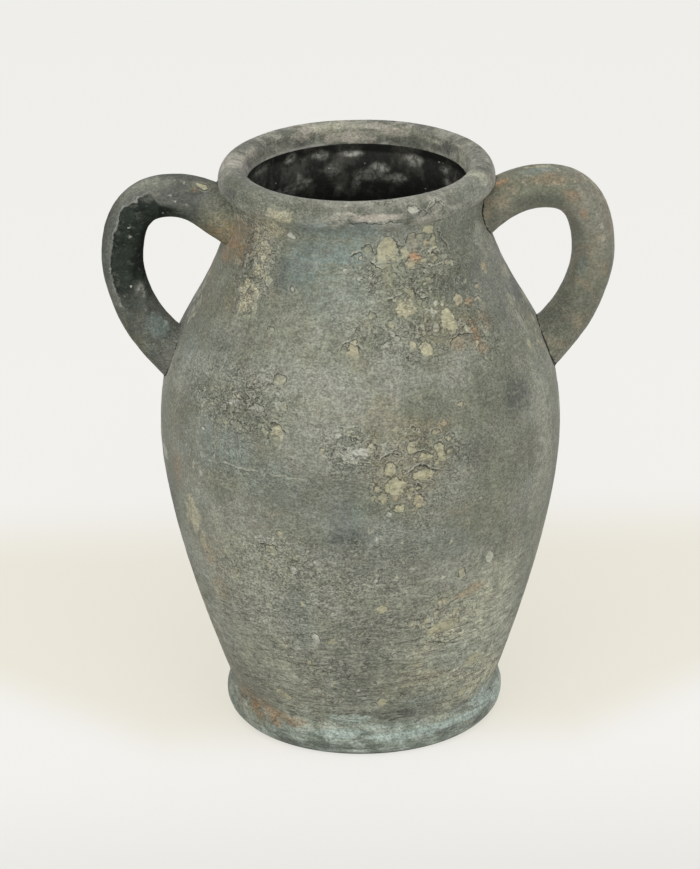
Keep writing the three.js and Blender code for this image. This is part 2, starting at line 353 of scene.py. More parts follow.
def behind(seed, count, low, high, width, height, strength):
    """Seeded places for the sides that the photograph doesn't show."""
    draw = np.random.default_rng(seed)
    made = []
    for _ in range(count):
        angle = math.radians(draw.uniform(*BACK_ANGLES))
        made.append(Place(
            angle, draw.uniform(low, high), draw.uniform(*width), draw.uniform(*height),
            draw.uniform(*strength), draw.uniform(-BACK_LEAN, BACK_LEAN),
        ))
    return made


# Pale verdigris ridge of the foot, partly a painted highlight along the top of its roll: turn, level,
# half width and half height
FOOT_RIDGE = Place(math.radians(32), 13.8, 56.0, 2.4)

# Clouds of colour: x, y, width, height, strength, lean and the surface where they lie, if it isn't
# the outer wall. After them come the arguments of the seeded ones behind.
CLOUD_ROWS = {
    "blue": ([
        (340, 232, 120, 26, 1.0), (300, 265, 50, 60, 0.8), (335, 290, 80, 60, 0.5),
        (335, 252, 110, 40, 1.0), (238, 455, 50, 60, 0.5), (265, 480, 60, 60, 0.4),
        (205, 440, 20, 60, 0.5), (350, 525, 90, 46, 0.5), (300, 620, 44, 70, 0.4),
        (455, 655, 60, 30, 0.6), (420, 700, 60, 14, 0.6), (190, 345, 14, 44, 0.6),
        (440, 545, 70, 40, 0.35), (500, 620, 30, 60, 0.35),
    ], (15, 14, 60, 312, (16, 44), (10, 26), (0.3, 0.8))),
    "brown": ([
        (230, 238, 40, 60, 1.0), (212, 272, 16, 60, 0.8), (400, 430, 110, 40, 0.8),
        (410, 470, 90, 60, 0.7), (445, 330, 80, 60, 0.5), (372, 440, 30, 30, 0.5),
        (176, 420, 20, 90, 0.5), (190, 470, 20, 50, 0.4), (235, 300, 30, 60, 0.5),
        (420, 676, 60, 24, 0.5), (390, 690, 40, 18, 0.5), (222, 550, 40, 60, 0.4),
        (545, 540, 16, 90, 0.3), (250, 640, 50, 60, 0.25), (250, 700, 40, 40, 0.7),
        (178, 470, 12, 40, 0.7), (206, 548, 14, 34, 0.6), (222, 590, 14, 26, 0.5),
    ], (16, 14, 40, 300, (14, 34), (12, 30), (0.3, 0.8))),
    "dark": ([
        (520, 395, 28, 40, 0.75), (345, 537, 54, 28, 0.9), (474, 450, 50, 34, 0.6),
        (450, 288, 48, 28, 0.7), (441, 235, 10, 26, 0.9), (450, 246, 8, 26, 0.5),
        (283, 272, 20, 38, 0.7), (252, 238, 9, 12, 0.9), (248, 262, 14, 28, 0.7),
        (380, 640, 70, 70, 0.35), (350, 690, 60, 40, 0.4), (230, 350, 60, 70, 0.25),
        (505, 330, 24, 70, 0.35), (470, 270, 22, 34, 0.5), (405, 545, 70, 30, 0.3),
        (293, 590, 40, 24, 0.3), (222, 410, 14, 12, 0.7), (400, 713, 80, 20, 1.0),
        # The three thin places low on the foot's front paint the contact shadow along its lower edge
        (447, 728, 34, 11, 1.0), (470, 722, 24, 9, 0.7), (345, 747, 110, 6, 1.0),
        (300, 744, 60, 6, 1.0), (322, 746, 60, 6, 0.8), (231, 195, 12, 14, 1.0),
        (296, 142, 18, 14, 1.0, 0, on_slope), (449, 149, 18, 10, 0.9, 0, on_slope),
        (290, 690, 30, 20, 0.3),
    ], (14, 18, 50, 305, (8, 34), (8, 26), (0.3, 0.9))),
    "rust": ([
        (232, 240, 26, 40, 0.75), (244, 226, 20, 18, 0.5), (225, 257, 12, 22, 0.6),
        (178, 470, 8, 40, 0.35), (206, 548, 12, 30, 0.4), (221, 588, 12, 24, 0.35),
        (476, 337, 12, 38, 0.8), (483, 348, 14, 14, 0.7), (469, 302, 12, 11, 0.8),
        (459, 345, 20, 14, 0.6), (485, 318, 12, 32, 0.35), (415, 257, 15, 13, 1.0),
        (484, 266, 8, 14, 0.5), (468, 591, 30, 11, 0.55, 15), (445, 600, 14, 8, 0.4),
        (430, 676, 24, 8, 0.4), (440, 428, 14, 14, 0.4), (550, 500, 10, 120, 0.25),
        (256, 701, 24, 12, 0.7, -35), (271, 711, 32, 12, 0.8, -28), (288, 719, 34, 9, 0.8, -15),
        (301, 722, 14, 7, 0.6), (246, 692, 12, 10, 0.4),
    ], (13, 16, 10, 312, (4, 16), (4, 16), (0.4, 1.0))),
    "cream": ([
        (280, 216, 36, 16, 0.75), (270, 228, 34, 26, 0.8), (263, 250, 22, 42, 1.0),
        (261, 270, 22, 26, 1.0), (251, 290, 28, 30, 1.0), (243, 307, 22, 20, 0.85),
        (228, 327, 20, 24, 0.4), (238, 217, 30, 12, 0.5), (194, 516, 18, 44, 0.9),
        (237, 262, 7, 16, 0.7), (247, 298, 20, 30, 1.0), (215, 262, 8, 16, 0.5),
        (203, 537, 13, 34, 0.6), (406, 309, 24, 22, 0.85), (387, 252, 22, 26, 0.55),
        (410, 264, 18, 12, 0.6), (428, 230, 13, 12, 0.85), (449, 321, 15, 26, 0.9),
        (427, 349, 14, 16, 0.8), (354, 350, 13, 18, 0.65), (443, 626, 38, 15, 1.0, 18),
        (455, 614, 14, 14, 0.7), (444, 601, 16, 10, 0.55), (472, 659, 10, 10, 0.9),
        (485, 330, 12, 28, 0.5), (400, 482, 44, 44, 0.3), (430, 300, 70, 60, 0.3),
        (277, 430, 12, 14, 0.6), (273, 549, 14, 10, 0.5),
    ], (11, 26, 30, 312, (4, 18), (4, 15), (0.5, 1.0))),
    "chalk": ([
        (350, 453, 34, 20, 0.75), (338, 436, 9, 8, 0.8), (389, 515, 9, 8, 0.7),
        (262, 539, 24, 8, 0.9, -6), (294, 571, 9, 10, 0.9), (411, 569, 14, 12, 0.6),
        (490, 557, 9, 11, 0.8), (316, 638, 10, 10, 0.9), (233, 402, 14, 6, 0.8, 6),
        (277, 393, 12, 5, 0.6), (292, 236, 11, 6, 1.0, -25), (257, 408, 13, 6, 0.7),
        (202, 395, 8, 22, 0.5), (481, 498, 9, 7, 0.5), (333, 664, 44, 16, 0.4),
        (330, 682, 26, 20, 0.45), (265, 268, 7, 12, 0.9), (379, 540, 14, 12, 0.45),
        (335, 610, 40, 14, 0.35), (204, 398, 12, 26, 0.6), (206, 392, 8, 8, 0.6),
    ], (12, 20, 35, 305, (2, 14), (2, 9), (0.5, 0.95))),
    "verdigris": ([
        # The first three places and the foot's ridge: verdigris, partly a painted highlight where the
        # roll faces up
        (332, 733, 70, 13, 0.9), (408, 736, 70, 12, 0.7), (350, 718, 70, 12, 0.7),
        (480, 694, 24, 30, 0.8), (476, 712, 20, 10, 0.4), (236, 690, 8, 24, 0.3),
        (310, 712, 30, 10, 0.4),
    ], (17, 12, 6, 24, (12, 34), (4, 9), (0.5, 0.9))),
    "pink": ([
        (372, 218.5, 56, 8, 1.0), (350, 214, 16, 8, 0.6), (243, 181, 10, 20, 0.3),
        (486, 176, 10, 16, 0.3), (350, 206, 40, 4, 0.5), (228, 163, 12, 16, 0.8),
        (240, 152, 18, 12, 0.8, 0, on_crest), (380, 123, 40, 6, 0.8, 0, on_crest),
        (350, 135, 30, 12, 1.0, 0, on_slope), (330, 137, 18, 12, 0.8, 0, on_slope),
        (372, 136, 18, 10, 0.7, 0, on_slope), (476, 158, 12, 10, 0.5, 0, on_slope),
        (262, 152, 12, 8, 0.3, 0, on_slope),
    ], (18, 6, 322, 329, (8, 20), (3, 6), (0.4, 0.8))),
    "soot_and_shade": ([
        (296, 142, 16, 12, 0.9, 0, on_slope), (279, 144, 12, 12, 0.7, 0, on_slope),
        (410, 138, 18, 8, 0.7, 0, on_slope), (447, 148, 18, 9, 0.9, 0, on_slope),
        # The place at (399, 221) is a thin dark line along the crease under the lip's roll, painted shade
        (421, 214, 9, 5, 1.0), (431, 210, 9, 5, 0.9), (399, 221, 70, 3, 0.5), (258, 213, 24, 8, 0.4),
        (350, 207, 30, 5, 0.4), (325, 210, 60, 9, 0.5), (428, 207, 44, 10, 0.5),
        (295, 207, 40, 8, 0.4),
    ], (19, 7, 316, 328, (6, 16), (3, 6), (0.4, 0.8))),
    "shade": ([
        (478, 296, 76, 110, 0.75), (330, 500, 110, 64, 0.75), (390, 566, 120, 50, 0.4),
        (503, 392, 62, 80, 0.75), (352, 655, 60, 110, 0.4), (466, 240, 40, 50, 0.6),
        (208, 330, 40, 40, 0.3), (345, 548, 90, 40, 0.5), (222, 350, 60, 60, 0.35),
        (235, 168, 30, 50, 0.5), (526, 438, 24, 50, 0.5), (245, 258, 16, 40, 0.7),
        (168, 420, 16, 120, 0.4), (440, 415, 50, 50, 0.3), (320, 213, 50, 14, 0.5),
        (288, 272, 28, 70, 0.9), (243, 188, 40, 40, 0.8), (227, 186, 14, 40, 0.6),
        (310, 207, 130, 18, 0.5), (390, 212, 90, 14, 0.5), (455, 545, 60, 30, 0.3),
        (228, 205, 24, 40, 0.5), (330, 213, 22, 14, 0.9), (390, 212, 18, 12, 0.9),
        (456, 198, 22, 14, 0.9), (400, 207, 90, 6, 0.6), (300, 205, 60, 10, 0.6),
        (350, 210, 170, 12, 0.6), (415, 212, 60, 12, 0.7), (471, 189, 16, 14, 0.6),
        (245, 200, 28, 14, 0.9), (226, 182, 10, 20, 0.7), (461, 145, 18, 9, 1.0, 0, on_crest),
        (300, 142, 60, 12, 0.6, 0, on_slope), (418, 140, 60, 10, 0.8, 0, on_slope),
        (246, 161, 14, 8, 0.5, 0, on_slope), (185, 425, 26, 100, 0.6), (192, 460, 22, 30, 0.6),
        (455, 712, 60, 20, 0.4),
    ], (23, 10, 30, 300, (20, 40), (16, 40), (0.4, 0.9))),
    "tan": ([
        (265, 226, 50, 30, 0.9), (283, 222, 26, 14, 0.7), (262, 248, 26, 34, 0.7),
        (213, 268, 20, 50, 0.8), (202, 295, 20, 40, 0.6), (240, 228, 40, 30, 0.6),
        (252, 285, 24, 40, 0.5), (408, 470, 90, 90, 0.7), (385, 412, 34, 40, 0.5),
        (372, 440, 16, 40, 0.5), (450, 325, 60, 60, 0.45), (292, 560, 20, 34, 0.5),
        (430, 655, 40, 40, 0.4), (220, 640, 24, 80, 0.4),
    ], (24, 10, 40, 312, (14, 34), (12, 30), (0.3, 0.8))),
    "olive": ([
        (500, 400, 80, 130, 0.7), (250, 480, 60, 50, 0.7), (238, 300, 40, 90, 0.7),
        (455, 262, 60, 60, 0.6), (528, 440, 30, 70, 0.6), (167, 450, 14, 200, 0.6),
        (410, 300, 90, 60, 0.5), (240, 420, 60, 60, 0.4), (500, 500, 60, 60, 0.5),
        (250, 262, 40, 50, 0.8), (330, 660, 90, 60, 0.4), (420, 330, 120, 80, 0.4),
    ], (25, 12, 40, 312, (20, 40), (16, 40), (0.3, 0.8))),
    "moss": ([
        (238, 284, 30, 80, 0.8), (205, 338, 50, 24, 0.7), (215, 216, 26, 20, 0.7),
        (214, 231, 14, 20, 0.9), (226, 264, 20, 24, 0.5), (246, 270, 14, 40, 0.8),
        (252, 238, 10, 14, 0.9), (190, 340, 26, 24, 0.6), (215, 305, 30, 30, 0.4),
        (248, 680, 30, 40, 0.7), (250, 706, 30, 24, 0.2), (230, 195, 18, 26, 1.0),
        (226, 180, 8, 20, 0.6), (245, 200, 26, 14, 0.7),
    ], (26, 8, 60, 312, (14, 34), (12, 30), (0.3, 0.8))),
    "pale": ([
        # The first four pale places, at the lower right, are painted light where the lamps leave that
        # side dim
        (472, 644, 80, 120, 0.85), (484, 674, 24, 30, 0.9), (500, 610, 24, 60, 0.6),
        (460, 665, 40, 30, 0.5), (214, 572, 10, 60, 0.4), (344, 135, 44, 12, 0.9, 0, on_slope),
        (386, 131, 40, 10, 0.6, 0, on_slope), (477, 166, 12, 30, 0.7, 0, on_crest),
        (330, 125, 80, 8, 0.6, 0, on_crest), (400, 127, 60, 8, 0.6, 0, on_crest),
        (484, 178, 12, 24, 0.6), (440, 137, 30, 5, 0.5, 0, on_crest),
        (300, 133, 30, 6, 0.5, 0, on_slope), (340, 240, 90, 40, 0.25), (322, 728, 50, 14, 0.4),
    ], (27, 6, 40, 300, (14, 30), (12, 30), (0.3, 0.7))),
    # light is a paler wash, partly painted light: on the down-facing lower belly, the lower right and
    # strips along the side edges
    "light": ([
        (360, 640, 330, 190, 0.45), (355, 300, 90, 70, 0.45), (310, 405, 90, 80, 0.4),
        (246, 560, 100, 90, 1.0), (462, 636, 90, 130, 1.0), (502, 600, 30, 90, 0.9),
        (546, 450, 18, 150, 0.8), (272, 645, 84, 110, 0.9), (465, 662, 70, 70, 1.0),
        (330, 365, 110, 80, 0.25), (482, 674, 26, 34, 1.0), (300, 706, 40, 20, 0.6),
        (212, 570, 20, 60, 0.5), (258, 276, 14, 30, 0.8), (211, 276, 8, 24, 0.8),
        (264, 216, 26, 10, 0.6), (350, 405, 120, 70, 0.2), (230, 620, 40, 60, 0.4),
        (300, 330, 60, 60, 0.4), (500, 590, 50, 60, 0.5), (280, 560, 50, 40, 0.4),
        (540, 440, 14, 90, 0.5),
    ], (22, 10, 30, 300, (20, 40), (16, 40), (0.4, 0.9))),
    "rough": ([
        (300, 590, 220, 140, 0.75), (230, 390, 120, 110, 0.75), (480, 330, 50, 120, 0.7),
        (350, 450, 90, 70, 0.8), (250, 470, 120, 80, 0.6), (390, 550, 160, 80, 0.55),
        (440, 640, 120, 90, 0.45), (262, 265, 40, 110, 0.9), (245, 300, 34, 50, 0.9),
        (250, 215, 60, 30, 0.8), (400, 445, 70, 60, 0.6), (425, 285, 60, 30, 0.6),
    ], (20, 10, 40, 300, (30, 60), (20, 50), (0.6, 1.0))),
    "flaky": ([
        (415, 275, 120, 80, 1.0), (410, 335, 130, 70, 0.8), (420, 480, 120, 110, 0.9),
        (350, 450, 70, 50, 0.9), (250, 415, 100, 70, 1.0), (280, 560, 120, 60, 0.8),
        (330, 675, 60, 50, 1.0), (440, 615, 80, 60, 1.0), (250, 280, 44, 90, 1.0),
        (370, 570, 140, 60, 0.5), (262, 240, 40, 50, 0.9), (205, 400, 24, 50, 0.7),
        (300, 640, 120, 80, 0.6), (450, 680, 90, 40, 0.7), (440, 340, 90, 60, 0.6),
    ], (21, 12, 40, 300, (16, 44), (12, 34), (0.5, 1.0))),
}
CLOUDS = {
    name: [seen(*row) for row in rows] + behind(*hidden) for name, (rows, hidden) in CLOUD_ROWS.items()
}
CLOUDS["verdigris"].append(FOOT_RIDGE)
# Stretches of the lip whose colour is the neck's
PLAIN_LIP = [seen(258, 208, 96, 56, 1.0), seen(474, 196, 56, 56, 0.75), seen(232, 180, 30, 60, 0.6)]
# Places of the painted highlight along the mouth's ledge
LEDGE_SHINES = [seen(*row, find=on_throat) for row in (
    (278, 154, 60, 60, 1.0), (310, 147, 30, 60, 0.8), (385.5, 146, 9, 60, 1.0),
    (258, 161, 14, 60, 0.6), (446, 152, 16, 60, 0.6),
)]
THROAT_SPOTS = [
    (340, 150.7, 3), (399, 152.5, 3), (439, 162.3, 2.6), (329, 167.7, 3.6), (365, 163, 3),
    (322, 160, 2.4), (384, 161, 2.6), (285, 171, 2.6), (275, 183, 2.4), (332, 176, 2.4),
    (443, 163, 2.2), (269, 164, 2.4), (425, 189, 2.4), (378, 156, 2.0), (310, 158, 2.0),
    (350, 178, 2.0), (372, 184, 2.0), (391, 168, 2.0),
]
SMUDGES = [seen(*row, find=on_throat) for row in (
    (308, 182, 9, 8, 1.0), (402, 178, 11, 10, 1.0), (381, 167, 22, 11, 1.0), (415, 159, 15, 11, 0.8),
    (351, 153.5, 30, 6, 1.0), (320, 154, 20, 9, 0.7), (358, 181, 6, 20, 0.6), (299, 179, 6, 12, 0.7),
    (392, 178, 14, 8, 0.6), (370, 174, 30, 14, 0.5), (330, 170, 20, 14, 0.4), (449, 182, 9, 8, 0.6),
    (290, 190, 40, 10, 0.4), (306, 181, 9, 7, 0.9), (399, 176, 13, 10, 0.7), (378, 166, 14, 9, 0.6),
    (259, 169, 16, 12, 0.6), (290, 158, 12, 10, 0.7), (298, 177, 5, 12, 0.7), (322, 155, 18, 10, 0.5),
    (352, 153, 26, 6, 0.6), (412, 158, 16, 10, 0.5), (355, 185, 8, 16, 0.4), (340, 190, 10, 10, 0.4),
    (446, 170, 10, 8, 0.6),
)]


# Chips, blisters and drips of the skin
class Chip:
    """fill: how pale its core is; line: how dark its edge is, and how strong the painted highlight just
    outside it;
    warmth: 0 chalk, 0.5 cream, 1 orange; arch: open below, like a drip."""

    def __init__(self, place, fill, line, warmth, arch=False):
        self.place = place
        self.fill = fill
        self.line = line
        self.warmth = warmth
        self.arch = arch


def chip(x, y, wide, tall, fill=0.9, line=0.7, warmth=0.5, lean=0.0, arch=False, find=on_wall):
    return Chip(seen(x, y, wide, tall, 1.0, lean, find), fill, line, warmth, arch)


# x, y, width, height, fill, line, warmth, lean, open below
CHIPS = [chip(*row) for row in (
    # Drips under the lip at the right
    (387, 250, 23, 28, 0.9, 1.0, 0.5, 0, True), (368.6, 250, 10, 10, 0.4, 1.0, 0.5, 0, True),
    (375, 267, 12, 9, 0.2, 0.8, 0.5, 0, True), (404, 253, 9, 12, 0.9, 0.8),
    (415, 256, 12, 11, 1.0, 0.3, 1.0), (410.4, 265, 13, 9, 0.8, 0.2, 0.6),
    (411.5, 240, 11, 11, 0.3, 0.9, 0.7, 0, True), (418, 236, 6, 6, 0.6, 0.8, 0.5, 0, True),
    (413, 243.5, 6, 6, 0.8, 0.3, 0.8), (425, 244, 5, 9, 0.8, 0.4, 0.7),
    (428, 229.5, 12, 10, 0.95, 0.5), (432.5, 241, 7, 14, 0.8, 0.9), (433.4, 257, 11, 12, 0.9, 1.0),
    (422.6, 259.5, 6, 7, 0.8, 0.8, 0.7), (443.6, 256, 8, 9, 0.6, 0.5, 0.2),
    (451.7, 263, 4, 8, 0.7, 0.4, 0.2), (484, 267, 5, 15, 0.6, 0.3, 0.6),
    (476.5, 286, 7, 6, 0.8, 0.5, 0.7), (481, 291, 5, 5, 0.8, 0.4, 0.6),
    # Second group on the shoulder
    (411.5, 294, 9, 10, 0.6, 1.0, 0.6, 0, True), (406, 309, 20, 18, 0.5, 0.3),
    (391, 324, 9, 10, 0.8, 0.4), (426.7, 315, 6, 8, 0.4, 0.9, 0.6), (436, 328.5, 8, 9, 0.5, 1.0, 0.1),
    (434, 316, 6, 5, 0.2, 0.8), (449, 321, 16, 26, 1.0, 0.25), (427, 349, 14, 16, 0.95, 0.6),
    (395.6, 340.5, 9, 9, 0.4, 0.9, 0.2, 0, True), (354, 349, 13, 15, 0.8, 0.7, 0.6, 0, True),
    (344, 349, 7, 8, 0.2, 0.9, 0.5, 0, True), (455.5, 341, 12, 12, 0.4, 0.5, 0.7),
    (458.5, 300, 9, 12, 0.85, 0.6, 0.65), (468, 301, 8, 8, 0.4, 0.3, 0.7),
    (483, 348, 11, 10, 0.15, 0.1, 0.8), (419, 302, 6, 5, 0.3),
    (401, 292, 8, 6, 0.2, 0.7, 0.5, 0, True),
    # Main cluster on the belly
    (395.2, 486, 20, 18, 1.0, 0.8), (390, 470, 10, 12, 1.0, 0.9), (377.4, 489, 7, 8, 0.9, 0.8),
    (374.5, 498, 6, 5, 0.8, 0.5), (383, 497.5, 10, 9, 0.95, 0.8), (398.6, 508.4, 13, 10, 1.0, 0.6),
    (396.5, 498.5, 6, 5, 0.8, 0.3, 0.8), (418.2, 486.6, 5, 7, 0.8, 0.9), (409, 492.5, 7, 5, 0.4),
    (418.7, 501.5, 12, 14, 0.9, 0.9, 0.65), (414, 510.5, 7, 5, 0.9, 0.4), (407, 483, 5, 4, 0.3, 0.6),
    (422, 474.5, 23, 12, 1.0, 0.5, 0.55), (410.7, 448, 9, 14, 0.85, 1.0),
    (397, 454.5, 10, 6, 0.3, 0.8), (426.2, 457, 14, 9), (438.3, 446.5, 10, 11, 0.8, 0.9),
    (441.7, 457, 9, 11, 0.95, 0.8), (436.5, 461.5, 6, 6, 0.9, 0.5), (448.6, 438, 6, 8, 0.8, 0.9),
    (450.5, 452, 8, 7, 0.8, 0.8), (456.6, 453.5, 4, 4, 0.8, 0.3), (436, 432, 9, 6, 0.6, 0.8, 0.6),
    (444.6, 423.5, 6, 8, 0.5, 0.4, 0.7), (430, 487, 6, 5, 0.2, 0.6), (402, 462, 6, 5, 0.2, 0.6),
    (431, 439, 5, 5, 0.4),
    # Chalky group to its left, and chips of the left side
    (350, 451.5, 12, 12, 0.9, 0.3, 0.1), (362, 452.5, 10, 12, 0.9, 0.3, 0.05),
    (347.6, 460, 12, 7, 0.7, 0.3, 0.2), (355.6, 460.5, 10, 7, 0.7, 0.3, 0.1),
    (341, 455.5, 6, 7, 0.6, 0.6, 0.2), (371.7, 448, 9, 11, 0.7, 0.9, 0.3, 0, True),
    (338.4, 436, 8, 7, 0.8, 0.4, 0.1), (280, 379, 13, 11, 0.5, 0.9, 0.5, 0, True),
    (277, 429.5, 13, 13, 0.85, 0.9, 0.45, 0, True), (257, 409, 14, 9, 0.5, 0.9, 0.1, 0, True),
    (236.5, 424, 12, 9, 0.3, 1.0, 0.3, 0, True), (244, 430, 7, 6, 0.3, 0.7, 0.3),
    (195, 462, 6, 5, 0.6, 0.5, 0.0), (202, 454, 7, 6, 0.5, 0.5, 0.1),
    (272, 549, 13, 9, 0.6, 0.9, 0.35, 0, True), (294, 571, 8, 9, 0.8, 0.4, 0.1),
    (268.8, 605, 7, 6, 0.8, 0.3, 0.2), (281.5, 597.5, 6, 5, 0.7, 0.4, 0.1),
    (250.6, 572, 5, 5, 0.7, 0.3, 0.3), (292, 236, 11, 6, 1.0, 0.5, 0.0, -25),
    (247, 217, 6, 5, 0.8, 0.6, 0.3), (270.8, 329, 7, 6, 0.4, 0.9, 0.2, 0, True),
    (292, 290, 5, 6, 0.7, 0.8, 0.1),
    # Lower belly
    (316, 638, 10, 9, 0.9, 1.0, 0.1, 0, True), (331.8, 642.4, 12, 6, 0.8, 0.4),
    (363, 632.7, 6, 5, 0.8, 0.5), (376.7, 611, 6, 6, 0.5, 0.3), (381, 610.5, 12, 9, 1.0, 0.6),
    (390, 595, 5, 5, 0.4, 0.5, 0.2), (283, 694.5, 14, 8, 0.85, 0.4, 0.5, -20),
    (316.7, 690, 9, 6, 0.8, 0.5, 0.2), (321, 674, 13, 9, 0.4, 0.9, 0.3, 0, True),
    (304, 682.5, 5, 6, 0.8, 0.4, 0.0, -40), (443, 577, 6, 4, 0.9, 0.3, 0.1),
    (461.4, 573, 9, 9, 0.7, 0.9, 0.4), (490, 556.5, 8, 10, 0.9, 0.4, 0.2),
    (436.5, 614, 7, 10, 0.5, 0.9, 0.4, 0, True), (442, 627, 32, 12, 0.9, 0.5, 0.5, 16),
    (444, 601, 13, 8, 0.5, 0.8, 0.4), (472, 659, 9, 9, 0.9, 0.5), (462, 691.6, 7, 10, 0.7, 0.4, 0.4),
    (381.7, 702, 9, 9, 0.9, 0.4), (406, 636, 4, 4, 0.6, 0.4, 0.2), (362.5, 633, 5, 5, 0.7, 0.3, 0.3),
    (468, 591, 24, 8, 0.5, 0.4, 0.7, 15), (480.7, 498, 8, 5, 0.5, 0.5, 0.2),
    (387, 539, 5, 4, 0.5, 0.3, 0.0), (389, 515, 7, 6, 0.5, 0.4, 0.1), (460, 404, 6, 6, 0.7, 0.8),
    # Lip
    (383, 203.5, 16, 5, 0.3, 0.8, 0.2), (412, 210, 12, 9, 0.9, 0.5, 0.1),
    (437, 208, 14, 12, 0.2, 1.0, 0.2), (423, 214, 9, 5, 0.2, 0.9, 0.0),
)]
THROAT_CHIPS = [chip(x, y, size, size * 0.8, 0.8, 0, 0, find=on_throat) for x, y, size in THROAT_SPOTS]

# Seeded small chips: x, y, width and height of a group, how many, smallest and largest radius
CHIP_GROUPS_SEEN = [
    (400, 262, 110, 60, 34, 1.0, 2.2), (405, 320, 110, 60, 26, 1.0, 2.4),
    (420, 470, 110, 90, 40, 0.9, 2.0), (350, 450, 60, 44, 20, 0.9, 1.9),
    (256, 272, 34, 100, 44, 0.9, 2.6), (245, 415, 90, 60, 34, 0.9, 2.4),
    (205, 398, 20, 34, 12, 0.8, 1.6), (290, 560, 60, 50, 20, 0.8, 2.2),
    (450, 660, 90, 60, 24, 0.8, 2.0), (300, 600, 190, 120, 60, 0.8, 1.9),
    (325, 680, 90, 50, 26, 0.8, 1.8), (440, 610, 80, 70, 24, 0.9, 2.0),
    (380, 560, 180, 80, 30, 0.8, 1.6), (470, 310, 40, 80, 18, 1.0, 2.2),
    (200, 470, 40, 110, 16, 0.9, 1.8),
]
CHIP_SEED = 7
CHIP_GAP_SHARE = 0.8
CHIP_TRIES = 12
CHIP_SMALLNESS = 2.2
CHIP_SQUASH = (0.75, 1.3)
CHIP_LEAN = 40
CHIP_FILL_RANGE = (0.3, 0.95)
CHIP_WARMTH_RANGE = (0, 0.6)
LINED_SHARE = 0.3
LINED = (0.4, 0.9)
UNLINED = (0, 0.3)
BACK_GROUPS = 30
BACK_GROUP_ANGLES = (76, 284)
BACK_GROUP_LEVELS = (40, 300)
BACK_GROUP_SIZES = (0.5, 1.3)
BACK_GROUP_COUNTS = (5, 24)
BACK_GROUP_HALF_WIDTH = 20.0
BACK_GROUP_HALF_HEIGHT = 14.0


def scatter_chips(draw, centre, level, half_width, half_height, count, small, large):
    """Chips of one group, kept apart from each other."""
    radius = float(wall_radius(level))
    placed = []
    for _ in range(count * CHIP_TRIES):
        if len(placed) >= count:
            break
        size = small + (large - small) * draw.random() ** CHIP_SMALLNESS
        turn, reach = draw.uniform(0, 2 * math.pi), math.sqrt(draw.random())
        x, y = half_width * reach * math.cos(turn), half_height * reach * math.sin(turn)
        if all(math.hypot(x - px, y - py) > CHIP_GAP_SHARE * (size + other) for px, py, other in placed):
            placed.append((x, y, size))
    made = []
    for x, y, size in placed:
        squash = draw.uniform(*CHIP_SQUASH)
        lean = draw.uniform(-CHIP_LEAN, CHIP_LEAN)
        place = Place(centre + x / radius, level + y, size * squash, size / squash, 1.0, lean)
        line = draw.uniform(*(LINED if draw.random() < LINED_SHARE else UNLINED))
        fill, warmth = draw.uniform(*CHIP_FILL_RANGE), draw.uniform(*CHIP_WARMTH_RANGE)
        made.append(Chip(place, fill, line, warmth, draw.random() < 0.5))
    return made


def all_chips():
    draw = np.random.default_rng(CHIP_SEED)
    made = []
    for *area, count, small, large in CHIP_GROUPS_SEEN:
        at = seen(*area)
        made += scatter_chips(
            draw, at.angle, at.level, at.half_width, at.half_height, count, small, large
        )
    for _ in range(BACK_GROUPS):
        size = draw.uniform(*BACK_GROUP_SIZES)
        centre = math.radians(draw.uniform(*BACK_GROUP_ANGLES))
        level = draw.uniform(*BACK_GROUP_LEVELS)
        made += scatter_chips(
            draw, centre, level, BACK_GROUP_HALF_WIDTH * size, BACK_GROUP_HALF_HEIGHT * size,
            int(draw.integers(*BACK_GROUP_COUNTS)), 1.2, 1.5 + 4.5 * size,
        )
    return made + CHIPS


CHIP_REACH = 7.0
CHIP_SPREAD = 1.8
CHIP_RAGGED = 0.42
CHIP_RAGGED_SIZE = 4.0
ARCH_STRETCH = 0.35
NO_CHIP = -9.0


def chip_fields(chips, angle, level, radius, positions):
    """Distance inside the nearest chip's edge, and that chip's line, fill and warmth."""
    wobble = layered_noise(positions, 3.6, 91, 2)
    depth = np.full(len(angle), NO_CHIP)
    line, fill, warmth = np.zeros(len(angle)), np.zeros(len(angle)), np.zeros(len(angle))
    for one in chips:
        place = one.place
        size = max(place.half_width, place.half_height)
        near = np.flatnonzero(np.abs(level - place.level) < size * CHIP_SPREAD + CHIP_REACH)
        u, v = place.offsets(angle[near], level[near], radius[near])
        close = np.abs(u) < size * CHIP_SPREAD + CHIP_REACH
        near, u, v = near[close], u[close], v[close]
        if not len(near):
            continue
        up = v / place.half_height
        stretch = np.where(one.arch & (up < 0), ARCH_STRETCH, 1.0)
        reach = np.maximum(np.hypot(u / place.half_width, up * stretch), 1e-3)
        rate = np.hypot(u / place.half_width**2, up * stretch**2 / place.half_height) / reach
        shortest = min(place.half_width, place.half_height)
        ragged = CHIP_RAGGED * min(shortest, CHIP_RAGGED_SIZE) * wobble[near]
        inside = np.minimum((1 - reach) / rate, shortest) + ragged
        better = inside > depth[near]
        near, inside, up = near[better], inside[better], up[better]
        depth[near] = inside
        # A chip's edge line and painted highlight are stronger on its upper side, as if lit from above; a
        # drip's are on its upper part only
        fade = smooth_step(-1.1, -0.1, up) if one.arch else 0.45 + 0.55 * smooth_step(-1.0, 0.6, up)
        line[near] = one.line * fade
        fill[near] = one.fill * (0.25 + 0.75 * smooth_step(-1.6, 0.0, up) if one.arch else 1.0)
        warmth[near] = one.warmth
    return {"chip": depth, "chip_line": line, "chip_fill": fill, "chip_warmth": warmth}


class Rift:
    """A crack or lifted edge: pixels that it passes, how dark it is, how pale its upper side is. The pale
    upper side is partly a painted highlight.
    """

    def __init__(self, points, dark, pale):
        self.points = [on_wall(x, y) for x, y in points]
        self.dark = dark
        self.pale = pale


